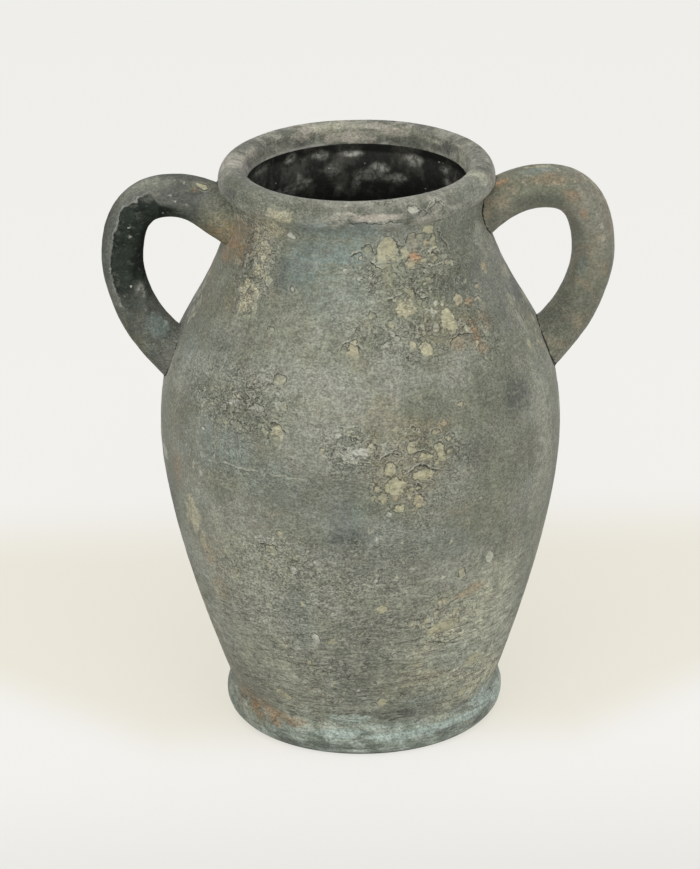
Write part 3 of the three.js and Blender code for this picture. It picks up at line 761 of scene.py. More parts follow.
RIFTS = [Rift(points, dark, pale) for dark, pale, *points in (
    (1.0, 1.0, (403, 476), (410, 471.5), (420, 463.5), (434, 469.5), (443, 467)),
    (1.0, 1.0, (378, 461), (385, 454.5), (392, 453), (401, 454.5)),
    (1.0, 1.0, (413, 454), (419, 451), (426, 450)), (1.0, 1.0, (350, 257), (357, 252.5), (363, 250)),
    (1.0, 1.0, (369, 262), (375, 264), (382, 271)),
    (0.2, 1.0, (418, 264.5), (427, 267), (435, 266.5), (446, 261.5)),
    (0.6, 1.0, (385, 301), (396, 297), (406, 293.5)), (0.7, 0.9, (415, 294), (423, 298), (430, 297)),
    (0.7, 1.0, (340, 347), (349, 342.5), (356, 346.5), (364, 350)),
    (1.0, 0.6, (449, 347), (452, 337.5), (462, 333), (474, 332)),
    (1.0, 0.6, (255.5, 541), (262, 543), (267, 545.5), (274, 545), (281, 549)),
    (1.0, 0.5, (423, 641), (434, 640.5), (444, 642), (451, 640), (459, 636)),
    (0.2, 1.0, (219, 461), (229, 465), (240, 469), (259.5, 473)),
    (0.0, 0.6, (266, 474.5), (286, 478), (307, 481)),
    (0.9, 0.8, (268, 424), (275, 421.5), (282, 425), (287, 434)),
    (1.0, 0.3, (284, 227), (291, 229), (299, 234.5)), (0.6, 0.4, (404, 639), (412, 640), (420, 638)),
    (0.8, 0.4, (266, 275), (266, 283), (270, 291)),
    (0.3, 1.0, (426, 214), (430, 204), (436, 199), (442, 204), (445, 209)),
    # The next row is a dark line along the crease under the lip's roll: painted shade, not a crack
    (0.8, 0.0, (343, 222.5), (356, 224), (368, 223), (379, 224), (391, 222), (404, 221.5)),
    (0.6, 0.5, (300, 662), (316, 665), (330, 664.5)), (0.8, 0.5, (446, 606), (452, 600), (460, 596)),
    (1.0, 0.0, (180, 322), (178.5, 329), (176.5, 337)),
    (0.9, 0.5, (437, 226), (441, 236), (447, 246), (453, 256)),
)]
RIFT_REACH = 9.0
RIFT_SPAN = 60
RIFT_END = 0.15


def rift_fields(rifts, angle, level, radius):
    """Distance above the nearest crack's line, negative below it, and its strengths."""
    gap = np.full(len(angle), RIFT_REACH)
    dark, pale = np.zeros(len(angle)), np.zeros(len(angle))
    for rift in rifts:
        levels = [place[1] for place in rift.points]
        near = np.flatnonzero((level > min(levels) - RIFT_REACH) & (level < max(levels) + RIFT_REACH))
        middle = rift.points[len(rift.points) // 2][0]
        across = ((angle[near] - middle + math.pi) % (2 * math.pi) - math.pi) * radius[near]
        close = np.abs(across) < RIFT_SPAN
        near, across = near[close], across[close]
        up = level[near]
        scale = float(wall_radius(levels[0]))
        corners = [((place[0] - middle) * scale, place[1]) for place in rift.points]
        travel, whole = 0.0, sum(math.dist(a, b) for a, b in zip(corners, corners[1:]))
        for (ax, ay), (bx, by) in zip(corners, corners[1:]):
            length = math.hypot(bx - ax, by - ay)
            tx, ty = (bx - ax) / length, (by - ay) / length
            along = np.clip((across - ax) * tx + (up - ay) * ty, 0, length)
            dx, dy = across - ax - along * tx, up - ay - along * ty
            signed = np.hypot(dx, dy) * np.where(dy * tx - dx * ty > 0, 1, -1)
            better = np.abs(signed) < np.abs(gap[near])
            place = near[better]
            gap[place] = signed[better]
            share = (travel + along[better]) / whole
            fade = smooth_step(0, RIFT_END, share) * smooth_step(1.0, 1 - RIFT_END, share)
            dark[place] = rift.dark * fade
            pale[place] = rift.pale * fade
            travel += length
    return {"rift": gap, "rift_dark": dark, "rift_pale": pale}


# Fields that the materials read off the points of a mesh, with their values where nothing is marked
FAR = 9.0
FIELD_REST = {
    **dict.fromkeys(CLOUDS, 0.0),
    **dict.fromkeys(("chip_line", "chip_fill", "chip_warmth", "rift_dark", "rift_pale"), 0.0),
    **dict.fromkeys(("rim", "foot", "turned", "smudge", "ledge", "depth_shade", "joined"), 0.0),
    "chip": NO_CHIP, "rift": RIFT_REACH, "coat": -FAR, "coat_share": 0.0, "coat_crisp": 1.0, "seam": FAR,
}
RIM_SOFTNESS = 1.2
PLAIN_LIP_SHARE = 0.9
FOOT_START = 5.0
FOOT_FULL = -3.0
FOOT_RAGGED = 3.0
ROUGH_LEAST = 0.36
TURNED_LEAST = 0.25
TURNED_LEVELS = (60, 150)
TURNED_RAGGED = 10
# From this far below the ledge to this far below the neck's joint, the inside's painted shade comes in
DEPTH_SHADE_START = 10
DEPTH_SHADE_END = 30


def blank_fields(count):
    return {name: np.full(count, value) for name, value in FIELD_REST.items()}


CHIPS_EVERYWHERE = all_chips()


def wall_fields(positions, angle, height, radius):
    wobble = layered_noise(positions, 13, 31, 3)
    fields = blank_fields(len(angle))
    for name, places in CLOUDS.items():
        fields[name] = cover(places, angle, height, radius, wobble)
    fields |= chip_fields(CHIPS_EVERYWHERE, angle, height, radius, positions)
    fields |= rift_fields(RIFTS, angle, height, radius)
    ragged = RIM_SOFTNESS * layered_noise(positions, 9, 41, 3)
    fields["rim"] = smooth_step(-RIM_SOFTNESS, RIM_SOFTNESS, height - crease_level + ragged)
    fields["rim"] *= 1 - PLAIN_LIP_SHARE * cover(PLAIN_LIP, angle, height, radius, wobble)
    fields["foot"] = smooth_step(FOOT_START, FOOT_FULL, height - foot_top + FOOT_RAGGED * ragged)
    fields["rough"] = np.maximum(fields["rough"], ROUGH_LEAST)
    fields["rough"] *= (1 - 0.4 * fields["blue"]) * (1 - 0.3 * fields["rim"])
    lines = 1 - smooth_step(*TURNED_LEVELS, height + TURNED_RAGGED * wobble)
    fields["turned"] = TURNED_LEAST + (1 - TURNED_LEAST) * lines
    fields["flaky"] = fields["flaky"] * (1 - 0.8 * fields["rim"])
    return fields


def mouth_fields(fields, inner, positions, angle, height, radius):
    """Gives the points inside the mouth their own marks in place of the outside's."""
    for name in (*SOFT_TONES, "cream", "chalk", "flaky", "turned"):
        if name not in ("soot_and_shade", "shade", "dark", "pale"):
            fields[name] = np.where(inner, 0.0, fields[name])
    spots = chip_fields(THROAT_CHIPS, angle, height, radius, positions)
    for name, values in spots.items():
        fields[name] = np.where(inner, values, fields[name])
    smudges = cover(SMUDGES, angle, height, radius, layered_noise(positions, 9, 44, 3))
    fields["smudge"] = np.where(inner, smudges, 0.0)
    # Painted shade: the inside grows darker below the ledge
    depth_shade = smooth_step(ledge_level - DEPTH_SHADE_START, neck_joint - DEPTH_SHADE_END, height)
    fields["depth_shade"] = np.where(inner, depth_shade, 0.0)


# Relief in millimetres
GROOVES, GROOVES_TURNED = 0.04, 0.07
LUMPS, LUMPS_ROUGH = 0.06, 0.12
SWAY = 0.35
CHIP_EDGE_LIFT = 0.14
CHIP_CRACK_DEPTH = 0.12
CHIP_CORE_LIFT = 0.12
RIFT_DEPTH = 0.15
RIFT_LIFT = 0.15


def ridge(value, centre, spread):
    """Share of a raised or sunk line: 1 where the value meets its centre."""
    return np.exp(-((value - centre) / spread) ** 2)


def wall_relief(positions, fields):
    """Outward shift in millimetres: turning grooves, gritty lumps and lifted chip edges."""
    grooves = layered_noise(positions, 3.4, 5, 3, (8, 8, 1))
    presence = 0.55 + 0.45 * layered_noise(positions, 40, 6, 2)
    lumps = layered_noise(positions, 5.0, 8, 3)
    sway = layered_noise(positions, 70, 9, 2)
    edge = ridge(fields["chip"], -0.6, 0.6) * fields["chip_line"]
    crack = ridge(fields["chip"], 0.3, 0.5) * fields["chip_line"]
    core = smooth_step(0.4, 1.8, fields["chip"]) * fields["chip_fill"]
    rift = ridge(fields["rift"], -0.2, 0.5) * fields["rift_dark"]
    lift = ridge(fields["rift"], 0.8, 0.6) * np.maximum(fields["rift_pale"], fields["rift_dark"])
    return (
        (GROOVES + GROOVES_TURNED * fields["turned"]) * presence * grooves
        + (LUMPS + LUMPS_ROUGH * fields["rough"]) * lumps
        + SWAY * sway
        + CHIP_EDGE_LIFT * edge
        - CHIP_CRACK_DEPTH * crack
        + CHIP_CORE_LIFT * core
        - RIFT_DEPTH * rift
        + RIFT_LIFT * lift
    )


def push_out(positions, angle, shift, slope):
    """Moves points along the outward normal, given its lean above the horizontal."""
    moved = positions.copy()
    moved[:, 0] += shift * np.cos(slope) * np.sin(angle)
    moved[:, 1] -= shift * np.cos(slope) * np.cos(angle)
    moved[:, 2] += shift * np.sin(slope)
    return moved


# Meshes
SHARP_CORNER = math.radians(38)


def mesh_object(name, positions, faces, materials, material_index=None, fields=None):
    mesh = bpy.data.meshes.new(name)
    mesh.from_pydata((np.asarray(positions) * MM).tolist(), [], faces)
    for material in materials:
        mesh.materials.append(material)
    if material_index is not None:
        mesh.polygons.foreach_set("material_index", np.asarray(material_index, np.int32))
    mesh.polygons.foreach_set("use_smooth", np.ones(len(mesh.polygons), bool))
    for key, values in (fields or {}).items():
        layer = mesh.attributes.new(key, "FLOAT", "POINT")
        layer.data.foreach_set("value", np.asarray(values, np.float32))
    mesh.update()
    mesh.set_sharp_from_angle(angle=SHARP_CORNER)
    piece = bpy.data.objects.new(name, mesh)
    bpy.context.collection.objects.link(piece)
    return piece


def dress(piece, slot, *nodes):
    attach(piece, "root")
    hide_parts(*nodes)
    return piece


front = math.radians(FRONT_HALF_ANGLE)
TURNS = np.concatenate([
    np.linspace(-front, front, FRONT_COLUMNS, endpoint=False),
    np.linspace(front, 2 * math.pi - front, BACK_COLUMNS, endpoint=False),
])
COLUMNS = len(TURNS)


def revolve(profile, closed):
    """Points and faces of a turned body, row by row. An open profile starts and ends on the axis."""
    profile = np.asarray(profile, float)
    rows = profile if closed else profile[1:-1]
    count = len(rows)
    radius = np.repeat(rows[:, 0], COLUMNS)
    height = np.repeat(rows[:, 1], COLUMNS)
    angle = np.tile(TURNS, count)
    positions = np.stack([radius * np.sin(angle), -radius * np.cos(angle), height], 1)
    column = np.arange(COLUMNS)
    after = (column + 1) % COLUMNS
    faces, tags = [], []
    for row in range(count if closed else count - 1):
        low, high = row * COLUMNS, ((row + 1) % count) * COLUMNS
        faces += np.stack([low + column, low + after, high + after, high + column], 1).tolist()
        tags += [row] * COLUMNS
    if not closed:
        first, last = len(positions), len(positions) + 1
        top = (count - 1) * COLUMNS
        positions = np.vstack([positions, [0, 0, profile[0, 1]], [0, 0, profile[-1, 1]]])
        radius = np.append(radius, [0, 0])
        height = np.append(height, [profile[0, 1], profile[-1, 1]])
        angle = np.append(angle, [0, 0])
        faces += [(first, int(after[k]), k) for k in range(COLUMNS)]
        faces += [(last, top + k, top + int(after[k])) for k in range(COLUMNS)]
        tags += [-1] * COLUMNS + [count] * COLUMNS
    return positions, faces, np.array(tags), angle, height, radius


# Node materials
def linear(red, green, blue):
    def one(value):
        value = value / 255
        return value / 12.92 if value <= 0.04045 else ((value + 0.055) / 1.055) ** 2.4
    return (one(red), one(green), one(blue), 1.0)


SHEEN_ROUGHNESS = 0.45
SPOKE_STRETCH = 9
# Sockets of the mix node for colours
MIX_SHARE, MIX_A, MIX_B, MIX_RESULT = 0, 6, 7, 2


class Shader:
    """Short calls for one material's nodes; lengths in its textures are millimetres."""

    def __init__(self, name, roughness=0.85, specular=0.25, sheen=0.0):
        self.material = bpy.data.materials.new(name)
        self.material.use_nodes = True
        self.tree = self.material.node_tree
        self.tree.nodes.clear()
        self.output = self.node("OutputMaterial")
        self.surface = self.node("BsdfPrincipled", {
            "Roughness": roughness, "Specular IOR Level": specular,
            "Sheen Weight": sheen, "Sheen Roughness": SHEEN_ROUGHNESS,
        })
        self.put(self.output.inputs[0], self.surface.outputs[0])
        self.place = self.node("TexCoord").outputs["Object"]

    def put(self, socket, value):
        if isinstance(value, bpy.types.NodeSocket):
            self.tree.links.new(value, socket)
        else:
            socket.default_value = value

    def node(self, kind, inputs=(), **settings):
        """A new node with its settings, and values or links for its inputs by name or number."""
        made = self.tree.nodes.new("ShaderNode" + kind)
        for key, value in settings.items():
            setattr(made, key, value)
        for key, value in dict(inputs).items():
            self.put(made.inputs[key], value)
        return made

    def attribute(self, name):
        return self.node("Attribute", attribute_name=name).outputs["Fac"]

    def axes(self):
        """The object's coordinates, one by one."""
        return self.node("SeparateXYZ", {0: self.place}).outputs

    def vector(self, operation, a, b):
        return self.node("VectorMath", {0: a, 1: b}, operation=operation).outputs[0]

    def placed(self, stretch, shift):
        scaled = self.vector("MULTIPLY", self.place, tuple(1 / (s * MM) for s in stretch))
        return self.vector("ADD", scaled, (shift, shift * 0.7, shift * 1.3)) if shift else scaled

    def noise(self, size, detail=3.0, rough=0.55, stretch=(1, 1, 1), bend=0.0, shift=0.0):
        return self.node("TexNoise", {
            "Vector": self.placed(stretch, shift), "Scale": 1 / size, "Detail": detail,
            "Roughness": rough, "Distortion": bend,
        }).outputs[0]

    def spokes(self, size, shift):
        """Noise in streaks that run out from the vase's axis and up its walls."""
        outward = self.vector("NORMALIZE", self.vector("MULTIPLY", self.place, (1, 1, 0)), (0, 0, 0))
        around = self.vector("MULTIPLY", outward, (LIP_RADIUS / size,) * 3)
        rise = self.vector("MULTIPLY", self.place, (0, 0, 1 / (size * SPOKE_STRETCH * MM)))
        moved = self.vector("ADD", self.vector("ADD", around, rise), (shift,) * 3)
        return self.node("TexNoise", {"Vector": moved, "Scale": 1.0, "Detail": 2.0}).outputs[0]

    def math(self, operation, a, b=0.0, c=0.0):
        return self.node("Math", {0: a, 1: b, 2: c}, operation=operation).outputs[0]

    def product(self, *values):
        total = values[0]
        for value in values[1:]:
            total = self.math("MULTIPLY", total, value)
        return total

    def swing(self, noise, gain, base=0.0):
        """A noise about its middle, times a gain, on top of a base."""
        return self.math("MULTIPLY_ADD", self.math("SUBTRACT", noise, 0.5), gain, base)

    def span(self, value, low, high, to_low=0.0, to_high=1.0):
        return self.node("MapRange", {
            "Value": value, "From Min": low, "From Max": high, "To Min": to_low, "To Max": to_high,
        }, interpolation_type="SMOOTHSTEP").outputs["Result"]

    def band(self, value, low, high):
        """One in the middle of a range, falling to nothing at its ends."""
        middle = (low + high) / 2
        return self.product(self.span(value, low, middle), self.span(value, high, middle))

    def mix(self, share, a, b, blend="MIX"):
        inputs = {MIX_SHARE: share, MIX_A: a, MIX_B: b}
        return self.node("Mix", inputs, data_type="RGBA", blend_type=blend).outputs[MIX_RESULT]

    def times(self, colour, factor):
        """A colour made lighter or darker by a number."""
        grey = self.node("CombineColor", {channel: factor for channel in range(3)})
        return self.mix(1.0, colour, grey.outputs[0], "MULTIPLY")

    def finish(self, colour, height=None, depth=0.3):
        self.put(self.surface.inputs["Base Color"], colour)
        if height is not None:
            bump = self.node("Bump", {"Strength": 1.0, "Distance": depth * MM, "Height": height})
            self.put(self.surface.inputs["Normal"], bump.outputs[0])
        return self.material


# Tones of the clouds: colour, share at full strength, share left in the gaps of the noise
SOFT_TONES = {
    # light is partly painted light, where the lamps leave the wall darker
    "light": ((163, 164, 147), 0.80, 0.65),
    # pale is in part painted light at the lower right
    "pale": ((198, 197, 172), 0.85, 0.60),
    "moss": ((95, 97, 77), 0.75, 0.55),
    "olive": ((113, 115, 93), 0.60, 0.45),
    "shade": ((98, 102, 92), 0.75, 0.60),
    "tan": ((144, 136, 110), 0.70, 0.45),
    "blue": ((122, 136, 132), 0.80, 0.55),
    "brown": ((124, 117, 93), 0.70, 0.4),
    "dark": ((80, 85, 78), 0.85, 0.35),
    # Dark marks, and painted shade in the crease under the lip
    "soot_and_shade": ((86, 88, 78), 0.85, 0.3),
    "rust": ((153, 118, 82), 0.80, 0.40),
}
RAGGED_TONES = {
    "pink": ((182, 174, 161), 0.75),
    "verdigris": ((168, 182, 174), 0.85),
    "cream": ((182, 176, 148), 0.80),
    "chalk": ((190, 192, 181), 0.78),
}


# Ground tones: olive, grey and warm
WALL_TONES = ((125, 128, 112), (141, 143, 131), (137, 134, 118))
LEFT_HANDLE_TONES = ((94, 97, 90), (113, 115, 108), (108, 106, 96))
RIGHT_HANDLE_TONES = ((116, 117, 101), (130, 129, 115), (146, 134, 114))


def ground(s, broad, patch, tones):
    olive, grey, warm = tones
    colour = s.mix(s.span(broad, 0.42, 0.60), linear(*olive), linear(*grey))
    return s.mix(s.span(patch, 0.50, 0.68, 0.0, 0.6), colour, linear(*warm))


# Tones of single marks
LIP_DARK = linear(102, 104, 93)
LIP_PALE = linear(153, 151, 138)
LIP_SPOKE = linear(172, 170, 157)
FOOT_DARK = linear(114, 123, 112)
FOOT_PALE = linear(166, 175, 165)
COAT_DARK = linear(26, 31, 28)
COAT_PALE = linear(44, 51, 45)
COAT_EDGE = linear(160, 162, 154)
PEBBLE_SHADE = linear(80, 82, 70)
PEBBLE = linear(172, 174, 158)
PIT = linear(60, 60, 49)
# The flake tones below are partly painted shade and painted highlight on either side of a lifted edge
FLAKE_CRACK_AND_SHADE = linear(62, 62, 50)
FLAKE_EDGE_AND_HIGHLIGHT = linear(188, 189, 172)
CHIP_CHALK = linear(190, 191, 178)
CHIP_CREAM = linear(184, 180, 150)
CHIP_ORANGE = linear(196, 160, 126)
# The chip's edge tones below: a painted highlight just outside, and a dark edge that is partly painted
# shade
CHIP_RIM_HIGHLIGHT = linear(186, 186, 168)
CHIP_GAP_AND_SHADE = linear(62, 60, 47)
# The crack's pale tone below is partly a painted highlight on its lifted upper side
CRACK_LIFT_HIGHLIGHT = linear(188, 188, 171)
CRACK_DARK = linear(50, 49, 38)
SEAM_DARK = linear(26, 27, 22)
# Painted highlight along the mouth's ledge
LEDGE_HIGHLIGHT = linear(190, 190, 180)
THROAT_DARK = linear(42, 43, 39)
THROAT_PALE = linear(86, 86, 79)
THROAT_STAIN = linear(164, 164, 154)
THROAT_SPECK = linear(200, 202, 194)

CLAY_ROUGHNESS = 0.86
CLAY_SPECULAR = 0.22
CLAY_SHEEN = 0.18
LEFT_SPECULAR = 0.06
CLAY_BUMP = 0.30
THROAT_ROUGHNESS = 0.75
THROAT_BUMP = 0.25


def clay_material(name, tones=WALL_TONES, specular=CLAY_SPECULAR, sheen=CLAY_SHEEN):
    """Weathered skin over clay: ground, clouds, coat, grain, flakes, chips and cracks, in that order."""
    s = Shader(name, CLAY_ROUGHNESS, specular, sheen)
    mark = s.attribute
    rough, flaky, turned = mark("rough"), mark("flaky"), mark("turned")
    fine = s.noise(0.95, 1, 0.5, (1.3, 1.3, 1))
    grain = s.noise(1.8, 1.5, 0.5, (1.35, 1.35, 1), shift=12)
    medium = s.noise(3.8, 3, 0.62, (1.35, 1.35, 1), shift=21)
    patch = s.noise(13, 3, 0.6, shift=33)
    broad = s.noise(46, 3, 0.55, (1, 1, 0.8), shift=47)
    wash = s.noise(9, 3, 0.6, (1, 1, 6), shift=60)
    lines = s.noise(1.5, 2, 0.55, (8, 8, 1), shift=75)
    spokes = s.spokes(4.5, 95)

    # Ground
    colour = ground(s, broad, patch, tones)
    if tones is not WALL_TONES:
        colour = s.mix(mark("joined"), colour, ground(s, broad, patch, WALL_TONES))
    brushed = s.noise(9, 3, 0.62, (1.5, 1.5, 1), shift=88)
    lip = s.mix(s.span(brushed, 0.36, 0.62), LIP_DARK, LIP_PALE)
    lip = s.mix(s.product(s.span(spokes, 0.54, 0.70), 0.4), lip, LIP_SPOKE)
    colour = s.mix(mark("rim"), colour, lip)
    base = s.mix(s.span(patch, 0.38, 0.62), FOOT_DARK, FOOT_PALE)
    colour = s.mix(mark("foot"), colour, base)

    # Clouds
    for cloud, (tone, share, least) in SOFT_TONES.items():
        amount = s.product(mark(cloud), s.span(medium, 0.36, 0.60, least * share, share))
        colour = s.mix(amount, colour, linear(*tone))
    for cloud, (tone, share) in RAGGED_TONES.items():
        worn = s.span(s.math("ADD", mark(cloud), s.swing(medium, 1.7)), 0.34, 0.62)
        colour = s.mix(s.product(worn, share, mark(cloud)), colour, linear(*tone))

    # Dark coat of a handle, fading out at its ends, with a pale border
    partial = s.span(s.noise(7, 2, 0.6, shift=280), 0.40, 0.56, 0.12, 1.0)
    ragged = s.math("ADD", s.swing(medium, 4.5), s.swing(grain, 1.8))
    crisp = mark("coat_crisp")
    shore = s.math("ADD", mark("coat"), s.product(ragged, crisp))
    thinned = s.swing(s.noise(6, 3, 0.6, shift=290), 0.6)
    kept = s.span(s.math("ADD", mark("coat_share"), thinned), 0.0, 1.0)
    coat = s.mix(s.span(patch, 0.36, 0.64), COAT_DARK, COAT_PALE)
    colour = s.mix(s.product(s.span(shore, 0.0, 0.9), kept, 0.96), colour, coat)
    border = s.product(s.band(shore, -1.0, 0.2), kept, partial, crisp, 0.6)
    colour = s.mix(border, colour, COAT_EDGE)

    # Grain, turning lines and wash marks
    gain = s.math("MULTIPLY_ADD", rough, 1.6, 0.6)
    colour = s.times(colour, s.swing(s.span(fine, 0.3, 0.7), s.product(gain, 0.45), 1.0))
    colour = s.times(colour, s.swing(grain, s.product(gain, 0.55), 1.0))
    colour = s.times(colour, s.swing(medium, 0.85, 1.0))
    colour = s.times(colour, s.swing(lines, s.product(turned, 1.4), 1.0))
    colour = s.times(colour, s.swing(wash, 0.6, 1.0))
    pebble = s.noise(2.5, 1, 0.5, (1.4, 1.4, 1), shift=150)
    stone = s.product(s.span(pebble, 0.62, 0.65), rough)
    shade = s.product(s.band(pebble, 0.575, 0.635), rough)
    colour = s.mix(s.product(shade, 0.55), colour, PEBBLE_SHADE)
    colour = s.mix(s.product(stone, 0.65), colour, PEBBLE)
    pits = s.product(s.span(s.noise(1.5, 1, 0.5, shift=190), 0.64, 0.70), rough)
    colour = s.mix(s.product(pits, 0.65), colour, PIT)

    # Outlines of lifting flakes, a dark line beside a pale one: partly crack and edge, partly painted
    # shade and painted highlight
    height = s.swing(grain, s.math("MULTIPLY_ADD", rough, 2.2, 0.6))
    height = s.math("ADD", height, s.swing(medium, 1.4))
    height = s.math("ADD", height, s.swing(lines, s.product(turned, 1.2)))
    height = s.math("ADD", height, s.math("SUBTRACT", s.product(stone, 0.5), s.product(pits, 0.5)))
    grit = s.math("MULTIPLY_ADD", flaky, 0.6, s.product(rough, 0.55))
    streaks = s.product(s.span(turned, 0.4, 1.0), s.math("MULTIPLY_ADD", mark("foot"), -0.55, 0.8))
    for size, level, width, shift, place, stretch in (
        (6.4, 0.53, 0.015, 210, flaky, 1.3), (3.4, 0.50, 0.026, 230, flaky, 1.3),
        (2.1, 0.51, 0.05, 250, grit, 1.3), (2.3, 0.50, 0.04, 270, streaks, 4.5),
    ):
        wander = s.noise(size, 1.3, 0.5, (stretch, stretch, 1), 0.5, shift)
        here = s.product(place, s.span(s.noise(size * 2.6, 2, 0.5, shift=shift + 9), 0.42, 0.58))
        # The dark and pale sides are partly painted shade and painted highlight of the lifted edge; they
        # also sink and raise the bump
        dark_side = s.product(s.band(wander, level - 2 * width, level + 0.2 * width), here)
        pale_side = s.product(s.band(wander, level, level + 2 * width), here)
        colour = s.mix(s.product(dark_side, 0.82), colour, FLAKE_CRACK_AND_SHADE)
        colour = s.mix(s.product(pale_side, 0.66), colour, FLAKE_EDGE_AND_HIGHLIGHT)
        height = s.math("ADD", height, s.math("SUBTRACT", pale_side, dark_side))

    # Chips, each with a dark edge that is partly crack and partly painted shade, and a painted highlight
    # on the rim just outside
    edge = s.math("ADD", mark("chip"), ragged)
    warmth = mark("chip_warmth")
    core = s.mix(s.span(warmth, 0.0, 0.5), CHIP_CHALK, CHIP_CREAM)
    core = s.mix(s.span(warmth, 0.5, 1.0), core, CHIP_ORANGE)
    core = s.times(core, s.swing(grain, 0.9, 1.0))
    blotch = s.span(s.noise(3.2, 3, 0.7, shift=260), 0.36, 0.54, 0.35, 0.95)
    worn = s.span(s.math("ADD", edge, s.swing(fine, 1.6)), -0.1, 0.9)
    colour = s.mix(s.product(worn, mark("chip_fill"), blotch), colour, core)
    outlined = s.product(mark("chip_line"), s.math("MULTIPLY_ADD", partial, 0.4, 0.6))
    # Painted highlight on the rim just outside each chip, and a dark edge that is partly crack, partly
    # painted shade
    rim_light = s.product(s.band(edge, -1.4, -0.25), outlined)
    gap = s.product(s.band(edge, -0.55, 0.45), outlined)
    colour = s.mix(s.product(rim_light, 0.65), colour, CHIP_RIM_HIGHLIGHT)
    colour = s.mix(s.product(gap, 0.85), colour, CHIP_GAP_AND_SHADE)

    # Cracks, with a pale upper side that is partly a painted highlight on the lifted edge
    track = s.math("ADD", mark("rift"), ragged)
    crack = s.product(s.band(track, -0.75, 0.25), mark("rift_dark"))
    # Pale upper side of a crack: partly a painted highlight on the lifted edge
    lift = s.product(s.band(track, -0.1, 1.15), mark("rift_pale"))
    colour = s.mix(s.product(lift, 0.85), colour, CRACK_LIFT_HIGHLIGHT)
    colour = s.mix(s.product(crack, 0.95), colour, CRACK_DARK)
    raised, sunk = s.math("ADD", rim_light, lift), s.math("ADD", gap, crack)
    height = s.math("ADD", height, s.math("SUBTRACT", raised, sunk))

    # Painted contact shadow near the floor, an open seam beside a wall, and a painted highlight along the
    # mouth's ledge
    # Painted contact shadow: below 3 mm above the floor the colour darkens, down to 0.45 times
    colour = s.times(colour, s.span(s.axes()[2], 0.6 * MM, 3.0 * MM, 0.45, 1.0))
    seam = s.span(s.math("ADD", mark("seam"), s.product(ragged, 0.5)), 0.9, 0.3)
    colour = s.mix(s.product(seam, 0.95), colour, SEAM_DARK)
    # Painted highlight along the edge of the mouth's ledge
    ledge = s.product(mark("ledge"), s.span(medium, 0.36, 0.50, 0.3, 1.0))
    colour = s.mix(s.product(ledge, 0.85), colour, LEDGE_HIGHLIGHT)
    return s.finish(colour, height, CLAY_BUMP)


def inside_material():
    s = Shader("vase_inside", THROAT_ROUGHNESS)
    smudge = s.noise(13, 5, 0.68, (1, 1, 1.4))
    spots = s.noise(2.8, 4, 0.65, shift=50)
    fine = s.noise(1.4, 3, 0.65)
    colour = s.mix(s.span(smudge, 0.46, 0.66, 0.0, 0.8), THROAT_DARK, THROAT_PALE)
    stain = s.product(s.attribute("smudge"), s.span(spots, 0.36, 0.60, 0.35, 1.0))
    colour = s.mix(s.product(stain, 0.9), colour, THROAT_STAIN)
    colour = s.times(colour, s.swing(spots, 1.6, 1.0))
    # Painted shade: 1.15 times as bright just below the ledge, down to half as bright deeper inside
    colour = s.times(colour, s.span(s.attribute("depth_shade"), 0.0, 1.0, 1.15, 0.5))
    speck = s.product(s.span(s.attribute("chip"), 0.0, 0.5), s.attribute("chip_fill"))
    colour = s.mix(speck, colour, THROAT_SPECK)
    colour = s.times(colour, s.swing(fine, 1.0, 1.0))
    return s.finish(colour, fine, THROAT_BUMP)


body_material = clay_material("vase_wall")
rim_material = clay_material("vase_lip")
foot_material = clay_material("vase_foot")
left_handle_material = clay_material("vase_left_handle", LEFT_HANDLE_TONES, LEFT_SPECULAR, 0.0)
right_handle_material = clay_material("vase_right_handle", RIGHT_HANDLE_TONES)
inside = inside_material()


# Level at which the belly's mesh ends and the neck's begins
wall_split = neck_joint + 1.0


def make_belly():
    floor_top = belly_base + FLOOR
    fillet_top = floor_top + FLOOR_FILLET
    outer = wall_points(belly_base, wall_split, ROW_STEP)
    inner = wall_points(fillet_top, wall_split, 4.0, -WALL)[::-1]
    corner = np.array([wall_radius(floor_top) - WALL, floor_top])
    fillet_start = (wall_radius(fillet_top) - WALL, fillet_top)
    fillet = quadratic(fillet_start, corner, corner - [FLOOR_FILLET, 0], 6)[1:]
    under = line_points((4, belly_base), (base_radius - 1.5, belly_base), 8)
    floor = line_points(fillet[-1], (4, floor_top), 6)[1:]
    profile = np.vstack([[(0, belly_base)], under, outer, inner, fillet, floor, [(0, floor_top)]])
    positions, faces, tags, angle, height, radius = revolve(profile, False)
    first = len(under)
    span = slice(first * COLUMNS, (first + len(outer)) * COLUMNS)
    fields = blank_fields(len(positions))
    skin = wall_fields(positions[span], angle[span], height[span], radius[span])
    for name, values in skin.items():
        fields[name][span] = values
    shift = wall_relief(positions[span], skin) * smooth_step(4, 9, height[span] - belly_base)
    positions[span] = push_out(positions[span], angle[span], shift, wall_slope(height[span]))
    dark_from = first + len(outer) - 1
    inner_points = np.arange(len(positions)) >= dark_from * COLUMNS
    mouth_fields(fields, inner_points, positions, angle, height, radius)
    materials = [body_material, inside]
    piece = mesh_object("belly_clay", positions, faces, materials, tags >= dark_from, fields)
    return dress(piece, "body_clay", "belly", "neck_luting")


def profile_slopes(profile):
    step = np.roll(profile, -1, 0) - np.roll(profile, 1, 0)
    return np.arctan2(-step[:, 0], step[:, 1])


THROAT_BEND = 10.0


